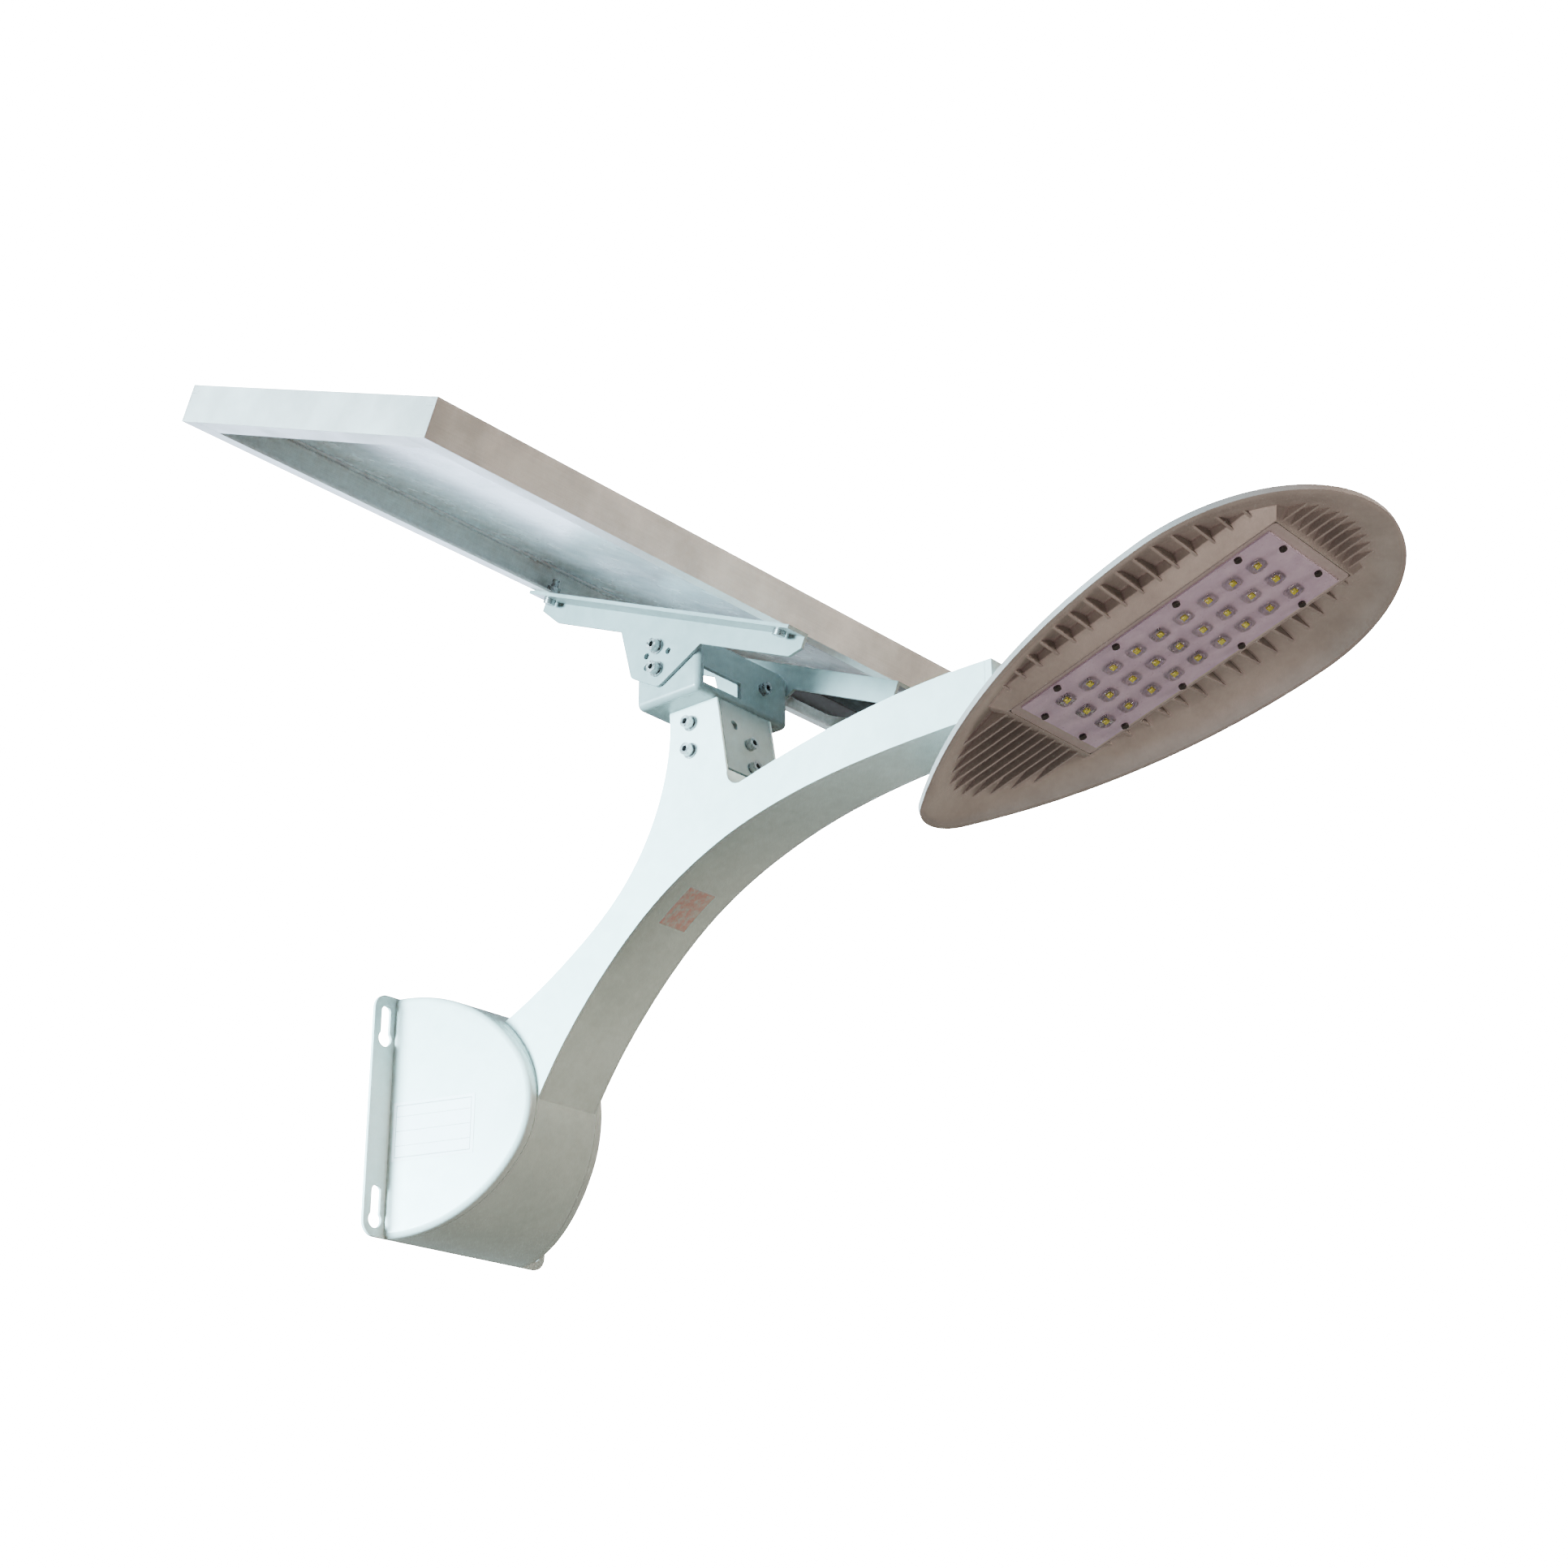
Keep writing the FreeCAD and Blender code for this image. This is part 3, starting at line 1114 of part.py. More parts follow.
def rounded_box(back, width, low, length, height, corner):
    """Box on the head's middle line with rounded upright corners."""
    box = at_head(back, -width / 2, low, length, width, height)
    return box.makeFillet(corner, [edge for edge in box.Edges if abs(edge.tangentAt(0).z) > 0.99])


lid_low = top + gasket_thick
lid = rounded_box(lid_back, lid_width, lid_low, lid_length, dim("cover_height"), 30)
lid = lid.makeFillet(12, [edge for edge in lid.Edges
                          if abs(edge.CenterOfMass.z - lid_low - dim("cover_height")) < 0.01])
lip_plate = rounded_box(lid_back - lip, lid_width + 2 * lip, lid_low, lid_length + 2 * lip,
                        dim("cover_lip_thick"), 34)
wall = dim("cover_wall")
lid_hollow = rounded_box(lid_back + wall, lid_width - 2 * wall, lid_low - 1, lid_length - 2 * wall,
                         dim("cover_height") - wall + 1, 26)
lid_hollow = lid_hollow.makeFillet(9, [
    edge for edge in lid_hollow.Edges
    if abs(edge.CenterOfMass.z - lid_low - dim("cover_height") + wall) < 0.01])
lid = lid.fuse(lip_plate).cut(lid_hollow)
gasket = rounded_box(lid_back - lip, lid_width + 2 * lip, top, lid_length + 2 * lip, gasket_thick, 34)
gasket = gasket.cut(rounded_box(lid_back + wall, lid_width - 2 * wall, top - 1,
                                lid_length - 2 * wall, gasket_thick + 2, 26))
lid_spots = [(lid_back + lid_length * share, side * (lid_width / 2 + lip * 0.45))
             for share in (0.16, 0.5, 0.84) for side in (-1, 1)]
lid_screws = []
for u, v in lid_spots:
    lid = lid.cut(Part.makeCylinder(dim("screw") / 2, 9, Vector(u, v, lid_low - 1)))
    gasket = gasket.cut(Part.makeCylinder(dim("screw") / 2, 9, Vector(u, v, top - 1)))
    shank = Part.makeCylinder(dim("screw") / 2, gasket_thick + dim("cover_lip_thick"),
                              Vector(u, v, top))
    head = Part.makeCylinder(dim("screw_head") / 2, dim("screw_head_high"),
                             Vector(u, v, lid_low + dim("cover_lip_thick")))
    lid_screws.append(shaped(shank.fuse(head)))
piece("driver_cover", shaped(lid), frame=head_frame)
piece("driver_gasket", shaped(gasket), frame=head_frame)
piece("driver_cover_screws", *lid_screws, frame=head_frame)
driver = at_head(lid_back + (lid_length - dim("driver_length")) / 2, -dim("driver_width") / 2, top,
                 dim("driver_length"), dim("driver_width"), dim("driver_height"))
piece("led_driver", shaped(driver), frame=head_frame)

# knuckle between the casting and the arm's fork
head_turn = math.radians(dim("head_tilt"))
to_pivot = xz(dim("fork_x") - dim("head_x"), dim("fork_z") - dim("head_z"))
pivot_u = to_pivot.x * math.cos(head_turn) + to_pivot.z * math.sin(head_turn)
pivot_n = -to_pivot.x * math.sin(head_turn) + to_pivot.z * math.cos(head_turn)
knuckle_w = dim("knuckle_width")
knuckle_r = dim("knuckle_radius")
eye = Part.makeCylinder(knuckle_r, knuckle_w, Vector(pivot_u, -knuckle_w / 2, pivot_n),
                        Vector(0, 1, 0))
neck = at_head(pivot_u - knuckle_r, -knuckle_w / 2, top, 2 * knuckle_r, knuckle_w, pivot_n - top)
foot = at_head(pivot_u - dim("foot_back"), -dim("foot_width") / 2, top,
               dim("foot_back") + dim("foot_front"), dim("foot_width"), dim("foot_thick"))
knuckle = eye.multiFuse([neck, foot])
knuckle = knuckle.cut(Part.makeCylinder((dim("fork_bolt") + 0.1) / 2, knuckle_w + 20,
                                        Vector(pivot_u, -knuckle_w / 2 - 10, pivot_n),
                                        Vector(0, 1, 0)))
foot_spots = [(pivot_u + du, side * 31) for du in (-8, 22) for side in (-1, 1)]
foot_screws = []
for u, v in foot_spots:
    knuckle = knuckle.cut(Part.makeCylinder(3.1, 30, Vector(u, v, top - 1)))
    shank = Part.makeCylinder(3, dim("foot_thick"), Vector(u, v, top))
    head = Part.makeCylinder(5, 4, Vector(u, v, top + dim("foot_thick")))
    foot_screws.append(shaped(shank.fuse(head)))
piece("head_knuckle", shaped(knuckle.removeSplitter()), frame=head_frame)
piece("knuckle_screws", *foot_screws, frame=head_frame)


# ---------------------------------------------------------------- checks and export
doc.recompute()
failed = [obj.Name for obj in doc.Objects if "Invalid" in obj.State or "Error" in obj.State]
if failed:
    raise RuntimeError("objects that did not compute: " + ", ".join(failed))
for obj in NODES:
    shape = obj.Shape
    if shape.isNull() or not shape.isValid() or not shape.Solids:
        raise RuntimeError("bad shape: " + obj.Label)
for obj in NODES:
    obj.Shape.exportStep("parts/%s.step" % obj.Label)
    print("%-22s solids %3d  volume %9.1f cm3" % (
        obj.Label, len(obj.Shape.Solids), obj.Shape.Volume / 1000))
print("nodes", len(NODES))
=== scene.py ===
"""Looks of a wall-mounted solar street lamp, built around its fixed CAD frame.

The frame's axes: +X out from the wall, +Y to the far side, +Z up, in metres.
"""
import logging
import math
from dataclasses import dataclass, field
from enum import Enum
from typing import Iterable, Sequence

import bmesh
import bpy
import numpy as np
from mathutils import Matrix, Vector


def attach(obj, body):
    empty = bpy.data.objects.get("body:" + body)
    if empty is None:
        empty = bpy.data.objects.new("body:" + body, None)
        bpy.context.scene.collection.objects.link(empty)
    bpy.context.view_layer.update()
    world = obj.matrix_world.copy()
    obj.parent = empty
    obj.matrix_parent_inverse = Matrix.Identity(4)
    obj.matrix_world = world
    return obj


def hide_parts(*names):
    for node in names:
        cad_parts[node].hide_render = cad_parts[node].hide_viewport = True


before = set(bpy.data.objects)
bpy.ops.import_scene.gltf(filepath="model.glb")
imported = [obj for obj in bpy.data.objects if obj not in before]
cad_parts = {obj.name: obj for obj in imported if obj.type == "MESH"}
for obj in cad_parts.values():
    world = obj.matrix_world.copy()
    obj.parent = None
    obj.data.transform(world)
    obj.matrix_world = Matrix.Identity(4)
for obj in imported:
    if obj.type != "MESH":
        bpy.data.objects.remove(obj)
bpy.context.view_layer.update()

LOG = logging.getLogger("street_lamp")
MM = 0.001
SAME_POINT = 2e-6

Colour = tuple[float, float, float, float]
Point = tuple[float, float, float]


class Body(Enum):
    """The moving bodies of the lamp."""

    BASE = "base_and_arm"
    PANEL = "panel"
    HEAD = "lamp_head"


class Slot(Enum):
    """Names of the record's material slots; each softened piece stores one, but nothing here
    reads it.
    """

    WHITE = "white_coat"
    GREY = "grey_coat"
    RAIL = "frame_alu"
    CAST = "cast_grey"
    PLATE = "plate_grey"
    PLASTIC = "black_plastic"
    LENS = "lens"


class Kind(Enum):
    """The node types that the finishes and the studio walls are built from."""

    PLACE = "ShaderNodeTexCoord"
    NOISE = "ShaderNodeTexNoise"
    RANGE = "ShaderNodeMapRange"
    RAMP = "ShaderNodeValToRGB"
    MIX = "ShaderNodeMix"
    MATH = "ShaderNodeMath"
    VECTOR = "ShaderNodeVectorMath"
    ROTATE = "ShaderNodeVectorRotate"
    SPLIT = "ShaderNodeSeparateXYZ"
    BUMP = "ShaderNodeBump"
    HOLLOWS = "ShaderNodeAmbientOcclusion"
    RAY = "ShaderNodeLightPath"


# ---------------------------------------------------------------- colour and node helpers
def linear(code: str) -> Colour:
    """Turn an sRGB hex colour into linear light.

    Args:
        code: colour as "#RRGGBB".

    Returns:
        Linear red, green, blue and an alpha of one.
    """
    srgb = [int(code[k:k + 2], 16) / 255 for k in (1, 3, 5)]
    red, green, blue = (c / 12.92 if c <= 0.04045 else ((c + 0.055) / 1.055) ** 2.4
                        for c in srgb)
    return (red, green, blue, 1.0)


def per_mm(size: float) -> float:
    """Texture scale that makes one cell of a noise pattern about size millimetres wide."""
    return 1.0 / (size * MM)


def feed(tree: bpy.types.NodeTree, node: bpy.types.Node, links: dict) -> None:
    """Set a node's inputs.

    Args:
        tree: node tree of the node.
        node: the node.
        links: input name or number -> a node (by its first output), an output socket or a
            plain value.
    """
    for key, value in links.items():
        source = value.outputs[0] if isinstance(value, bpy.types.Node) else value
        if isinstance(source, bpy.types.NodeSocket):
            tree.links.new(source, node.inputs[key])
        else:
            node.inputs[key].default_value = source


def add(tree: bpy.types.NodeTree, kind: Kind, links: dict | None = None,
        stops: Sequence[tuple[float, str]] = (), **settings: object) -> bpy.types.Node:
    """Add one node with its settings and links.

    Args:
        tree: node tree that gets the node.
        kind: type of the node.
        links: what feeds its inputs, as feed() takes it.
        stops: on a colour ramp, positions and their sRGB hex colours, two in number or more.
        settings: properties of the node itself.

    Returns:
        The new node.
    """
    node = tree.nodes.new(kind.value)
    for name, value in settings.items():
        setattr(node, name, value)
    if stops:
        for _ in stops[2:]:
            node.color_ramp.elements.new(0.5)
        for element, (position, code) in zip(node.color_ramp.elements, stops):
            element.position = position
            element.color = linear(code)
    feed(tree, node, links or {})
    return node


def turned(tree: bpy.types.NodeTree, origin: Point, turn: Point,
           scale: Point = (1.0, 1.0, 1.0)) -> bpy.types.Node:
    """Object coordinates moved to origin and turned back by turn (radians), then scaled.

    Args:
        tree: node tree.
        origin: point that becomes zero.
        turn: Euler angles of the piece in the frame.
        scale: stretch of each axis after the turn.

    Returns:
        The node that gives the vector in the piece's own axes.
    """
    space = add(tree, Kind.PLACE).outputs["Object"]
    moved = add(tree, Kind.VECTOR, {0: space, 1: origin}, operation="SUBTRACT")
    back = add(tree, Kind.ROTATE, {"Vector": moved, "Rotation": turn},
               rotation_type="EULER_XYZ", invert=True)
    return add(tree, Kind.VECTOR, {0: back, 1: scale}, operation="MULTIPLY")


def from_middle(tree: bpy.types.NodeTree, value: object) -> bpy.types.Node:
    """Distance |value - 1/2| from the middle of a unit cell.

    Args:
        tree: node tree.
        value: node or socket that runs from 0 to 1 over the cell.

    Returns:
        The node that gives the distance.
    """
    shifted = add(tree, Kind.MATH, {0: value, 1: 0.5}, operation="SUBTRACT")
    return add(tree, Kind.MATH, {0: shifted}, operation="ABSOLUTE")


def scatter(tree: bpy.types.NodeTree, pattern: bpy.types.Node, low: float,
            high: float) -> bpy.types.Node:
    """Roughness that follows a noise pattern.

    Args:
        tree: node tree.
        pattern: noise, of which the stretch from 0.3 to 0.7 is used.
        low: roughness where the pattern is low.
        high: roughness where it is high.

    Returns:
        The node that gives the roughness.
    """
    return add(tree, Kind.RANGE, {"Value": pattern, "From Min": 0.3, "From Max": 0.7,
                                  "To Min": low, "To Max": high})


# ---------------------------------------------------------------- finishes
@dataclass(frozen=True)
class Finish:
    """Base of every finish: a name and a way to build the Blender material."""

    name: str

    def start(self) -> tuple[bpy.types.Material, bpy.types.NodeTree, bpy.types.Node,
                             bpy.types.NodeSocket]:
        """Make an empty material.

        Returns:
            The material, its node tree, its Principled shader and the Object coordinates,
            which are the frame's own metres on every piece.
        """
        made = bpy.data.materials.new(self.name)
        made.use_nodes = True
        tree = made.node_tree
        shader = tree.nodes["Principled BSDF"]
        return made, tree, shader, add(tree, Kind.PLACE).outputs["Object"]

    def build(self) -> bpy.types.Material:
        """Build the material; each finish has its own."""
        raise NotImplementedError


@dataclass(frozen=True)
class PowderCoat(Finish):
    """Polyester powder coat baked on steel: satin gloss with a fine orange peel.

    The peel is drawn about 2 mm wide, a little coarser than real, so that it shows. The coat's
    colour drifts over about 90 mm and holds dust in patches of about 14 mm.
    """

    colour: str = "#DDECE8"
    shade: str = "#CFDEDA"
    gloss_rough: float = 0.33
    peel: float = 2.2
    peel_depth: float = 0.035
    drift: float = 90.0
    dust: float = 14.0
    dust_share: float = 0.35

    def build(self) -> bpy.types.Material:
        """Build the coat: drifted colour, dust in broad patches and peel bump.

        Returns:
            The material.
        """
        made, tree, shader, space = self.start()
        drift = add(tree, Kind.NOISE, {"Vector": space, "Scale": per_mm(self.drift), "Detail": 3,
                                       "Roughness": 0.6})
        dust = add(tree, Kind.NOISE, {"Vector": space, "Scale": per_mm(self.dust), "Detail": 4,
                                      "Roughness": 0.65})
        peel = add(tree, Kind.NOISE, {"Vector": space, "Scale": per_mm(self.peel), "Detail": 1.5,
                                      "Roughness": 0.45})
        clean = add(tree, Kind.MATH, {0: drift, 1: 1 - self.dust_share}, operation="MULTIPLY")
        mixed = add(tree, Kind.MATH, {0: dust, 1: self.dust_share, 2: clean},
                    operation="MULTIPLY_ADD")
        feed(tree, shader, {
            "Base Color": add(tree, Kind.RAMP, {"Fac": mixed},
                              [(0.36, self.shade), (0.62, self.colour)]),
            "Roughness": scatter(tree, dust, self.gloss_rough - 0.04, self.gloss_rough + 0.08),
            "Normal": add(tree, Kind.BUMP, {"Height": peel, "Distance": self.peel_depth * MM,
                                            "Strength": 0.7}),
            "IOR": 1.5, "Coat Weight": 0.12, "Coat Roughness": 0.18})
        return made


@dataclass(frozen=True)
class StickerCoat(PowderCoat):
    """The same powder coat with one blank faded sticker pressed on it.

    The sticker is a rectangle of size millimetres about middle, in a plane that slopes with
    the arm's underside, and its print is worn off in patches.
    """

    middle: Point = (0.331, 0.0, 0.182)
    slope: float = math.radians(-33.0)
    size: tuple[float, float] = (52.0, 38.0)
    tint: str = "#D79B90"
    wear: float = 9.0

    def build(self) -> bpy.types.Material:
        """Build the coat and lay the sticker's colour over it.

        Returns:
            The material.
        """
        made = super().build()
        tree = made.node_tree
        shader = tree.nodes["Principled BSDF"]
        coat = shader.inputs["Base Color"].links[0].from_socket
        half_sizes = (2 / (self.size[0] * MM), 2 / (self.size[1] * MM), 1.0)
        parts = add(tree, Kind.SPLIT, {0: turned(tree, self.middle, (0.0, self.slope, 0.0),
                                                 half_sizes)})
        along = add(tree, Kind.MATH, {0: parts.outputs["X"]}, operation="ABSOLUTE")
        across = add(tree, Kind.MATH, {0: parts.outputs["Y"]}, operation="ABSOLUTE")
        reach = add(tree, Kind.MATH, {0: along, 1: across}, operation="MAXIMUM")
        patch = add(tree, Kind.RANGE, {"Value": reach, "From Min": 0.99, "From Max": 1.01,
                                       "To Min": 1.0, "To Max": 0.0})
        rubbed = add(tree, Kind.NOISE, {"Vector": add(tree, Kind.PLACE).outputs["Object"],
                                        "Scale": per_mm(self.wear), "Detail": 3,
                                        "Roughness": 0.6})
        print_left = add(tree, Kind.RANGE, {"Value": rubbed, "From Min": 0.35, "From Max": 0.6,
                                            "To Min": 0.35, "To Max": 0.75})
        share = add(tree, Kind.MATH, {0: patch, 1: print_left}, operation="MULTIPLY")
        worn = add(tree, Kind.MIX, {0: share, 6: coat, 7: linear(self.tint)}, data_type="RGBA")
        feed(tree, shader, {"Base Color": worn.outputs[2]})
        return made


@dataclass(frozen=True)
class CastAluminium(Finish):
    """Die-cast aluminium with a silver-grey spray coat: soft sheen and a faint sand grain.

    The grain is drawn 1.3 mm wide, coarser than real, so that it shows. Flow marks are about
    60 mm wide, and painted shade darkens corners within 18 mm of a facing surface.
    """

    colour: str = "#B0A9A6"
    shade: str = "#A19A97"
    corner_shade: str = "#5A5552"
    metal: float = 0.25
    gloss_rough: float = 0.44
    grain: float = 1.3
    flow: float = 60.0
    corner: float = 18.0

    def build(self) -> bpy.types.Material:
        """Build the casting: flow marks, sand grain and corners darkened by painted shade.

        Returns:
            The material.
        """
        made, tree, shader, space = self.start()
        flow = add(tree, Kind.NOISE, {"Vector": space, "Scale": per_mm(self.flow), "Detail": 4,
                                      "Roughness": 0.6})
        grain = add(tree, Kind.NOISE, {"Vector": space, "Scale": per_mm(self.grain), "Detail": 2,
                                       "Roughness": 0.6})
        # Painted shade: ambient occlusion mixes the corner shade colour into the casting's
        # corners.
        hollow = add(tree, Kind.HOLLOWS, {"Distance": self.corner * MM}, samples=4)
        clean = add(tree, Kind.RAMP, {"Fac": flow}, [(0.35, self.shade), (0.65, self.colour)])
        painted_shade = add(tree, Kind.RANGE, {"Value": hollow.outputs["AO"], "From Min": 0.25,
                                      "From Max": 0.95, "To Min": 0.15, "To Max": 0.0})
        dark = add(tree, Kind.MIX, {0: painted_shade, 6: clean, 7: linear(self.corner_shade)}, data_type="RGBA")
        feed(tree, shader, {
            "Base Color": dark.outputs[2],
            "Roughness": scatter(tree, grain, self.gloss_rough - 0.05, self.gloss_rough + 0.1),
            "Normal": add(tree, Kind.BUMP, {"Height": grain, "Distance": 0.05 * MM,
                                            "Strength": 0.6}),
            "Metallic": self.metal})
        return made


@dataclass(frozen=True)
class Anodised(Finish):
    """Extruded aluminium, clear anodised: satin metal with die lines along the bar.

    The lines are noise 1.2 mm wide, stretched along Y, and handling marks are about 45 mm wide.
    """

    colour: str = "#DCDAD7"
    shade: str = "#D0CECB"
    along: Point = (1.0, 0.012, 1.0)
    line: float = 1.2
    mark: float = 45.0
    line_share: float = 0.3
    metal: float = 0.3
    gloss_rough: float = 0.34

    def build(self) -> bpy.types.Material:
        """Build the bar: stretched noise for die lines and broad handling marks.

        Returns:
            The material.
        """
        made, tree, shader, space = self.start()
        stretched = add(tree, Kind.VECTOR, {0: space, 1: self.along}, operation="MULTIPLY")
        lines = add(tree, Kind.NOISE, {"Vector": stretched, "Scale": per_mm(self.line),
                                       "Detail": 3, "Roughness": 0.7})
        marks = add(tree, Kind.NOISE, {"Vector": space, "Scale": per_mm(self.mark), "Detail": 3,
                                       "Roughness": 0.6})
        broad = add(tree, Kind.MATH, {0: marks, 1: 1 - self.line_share}, operation="MULTIPLY")
        mixed = add(tree, Kind.MATH, {0: lines, 1: self.line_share, 2: broad},
                    operation="MULTIPLY_ADD")
        feed(tree, shader, {
            "Base Color": add(tree, Kind.RAMP, {"Fac": mixed},
                              [(0.38, self.shade), (0.6, self.colour)]),
            "Roughness": scatter(tree, marks, self.gloss_rough - 0.06, self.gloss_rough + 0.08),
            "Normal": add(tree, Kind.BUMP, {"Height": lines, "Distance": 0.02 * MM,
                                            "Strength": 0.5}),
            "Metallic": self.metal})
        return made


@dataclass(frozen=True)
class ZincSteel(Finish):
    """Bright zinc-plated or stainless fastener steel: turned metal with faint mottling.

    The spangle is about 3 mm wide, and corners within 5 mm of a facing surface are darkened
    by painted shade.
    """

    colour: str = "#B9BDBD"
    shade: str = "#8F9493"
    recess_shade: str = "#3A3D3D"
    gloss_rough: float = 0.3
    spangle: float = 3.0
    turning: float = 0.6
    corner: float = 5.0

    def build(self) -> bpy.types.Material:
        """Build the plating: spangle a few millimetres wide and recesses darkened by painted
        shade.

        Returns:
            The material.
        """
        made, tree, shader, space = self.start()
        spangle = add(tree, Kind.NOISE, {"Vector": space, "Scale": per_mm(self.spangle),
                                         "Detail": 3, "Roughness": 0.6})
        fine = add(tree, Kind.NOISE, {"Vector": space, "Scale": per_mm(self.turning),
                                      "Detail": 2, "Roughness": 0.5})
        # Painted shade: ambient occlusion mixes the recess shade colour into the plating's
        # recesses.
        hollow = add(tree, Kind.HOLLOWS, {"Distance": self.corner * MM}, samples=4)
        clean = add(tree, Kind.RAMP, {"Fac": spangle}, [(0.35, self.shade), (0.65, self.colour)])
        painted_shade = add(tree, Kind.RANGE, {"Value": hollow.outputs["AO"], "From Min": 0.2,
                                      "From Max": 0.9, "To Min": 0.75, "To Max": 0.0})
        dark = add(tree, Kind.MIX, {0: painted_shade, 6: clean, 7: linear(self.recess_shade)}, data_type="RGBA")
        feed(tree, shader, {
            "Base Color": dark.outputs[2],
            "Roughness": scatter(tree, spangle, self.gloss_rough - 0.06, self.gloss_rough + 0.1),
            "Normal": add(tree, Kind.BUMP, {"Height": fine, "Distance": 0.02 * MM,
                                            "Strength": 0.4}),
            "Metallic": 0.95})
        return made


@dataclass(frozen=True)
class Plastic(Finish):
    """Moulded or printed plastic: plain colour with a fine spark-eroded texture.

    The texture is drawn about 1 mm wide or more, coarser than real, so that it shows.
    """

    colour: str = "#1A1A1B"
    shade: str = "#121213"
    gloss_rough: float = 0.42
    texture: float = 0.9
    depth: float = 0.03
    drift: float = 25.0

    def build(self) -> bpy.types.Material:
        """Build the plastic: texture bump and slight colour drift.

        Returns:
            The material.
        """
        made, tree, shader, space = self.start()
        drift = add(tree, Kind.NOISE, {"Vector": space, "Scale": per_mm(self.drift), "Detail": 3,
                                       "Roughness": 0.6})
        grain = add(tree, Kind.NOISE, {"Vector": space, "Scale": per_mm(self.texture),
                                       "Detail": 2, "Roughness": 0.5})
        feed(tree, shader, {
            "Base Color": add(tree, Kind.RAMP, {"Fac": drift},
                              [(0.35, self.shade), (0.65, self.colour)]),
            "Roughness": scatter(tree, grain, self.gloss_rough - 0.05, self.gloss_rough + 0.08),
            "Normal": add(tree, Kind.BUMP, {"Height": grain, "Distance": self.depth * MM,
                                            "Strength": 0.6}),
            "IOR": 1.49})
        return made


@dataclass(frozen=True)
class ClearSheet(Finish):
    """Clear solid: tempered glass over the cells, or moulded acrylic lenses."""

    tint: str = "#F4FBFA"
    ior: float = 1.49
    gloss_rough: float = 0.03
    ripple: float = 8.0

    def build(self) -> bpy.types.Material:
        """Build the clear solid with a very slight ripple.

        Returns:
            The material.
        """
        made, tree, shader, space = self.start()
        wave = add(tree, Kind.NOISE, {"Vector": space, "Scale": per_mm(self.ripple), "Detail": 1,
                                      "Roughness": 0.4})
        feed(tree, shader, {
            "Base Color": add(tree, Kind.RAMP, {"Fac": wave},
                              [(0.3, self.tint), (0.7, "#FFFFFF")]),
            "Normal": add(tree, Kind.BUMP, {"Height": wave, "Distance": 0.02 * MM,
                                            "Strength": 0.3}),
            "Transmission Weight": 1.0, "Roughness": self.gloss_rough, "IOR": self.ior})
        return made


@dataclass(frozen=True)
class CellGrid(Finish):
    """Base of the finishes in the panel's plane, which follow its grid of square cells."""

    low_edge: Point = (0.5505, 0.0, 0.4004)
    slope: float = math.radians(23.6)
    cell: float = 104.0

    def grid(self, tree: bpy.types.NodeTree) -> tuple[bpy.types.Node, ...]:
        """Place in the panel's plane and in each cell.

        Args:
            tree: node tree.

        Returns:
            The panel's own axes, their separate parts, the place across the cell from 0 to 1,
            and the distances from the cell's middle across and along.
        """
        plane = turned(tree, self.low_edge, (0.0, self.slope, 0.0))
        parts = add(tree, Kind.SPLIT, {0: plane})
        places = []
        for axis in ("X", "Y"):
            cells = add(tree, Kind.MATH, {0: parts.outputs[axis], 1: self.cell * MM},
                        operation="DIVIDE")
            places.append(add(tree, Kind.MATH, {0: cells}, operation="FRACT"))
        across, along = places
        return plane, parts, across, from_middle(tree, across), from_middle(tree, along)


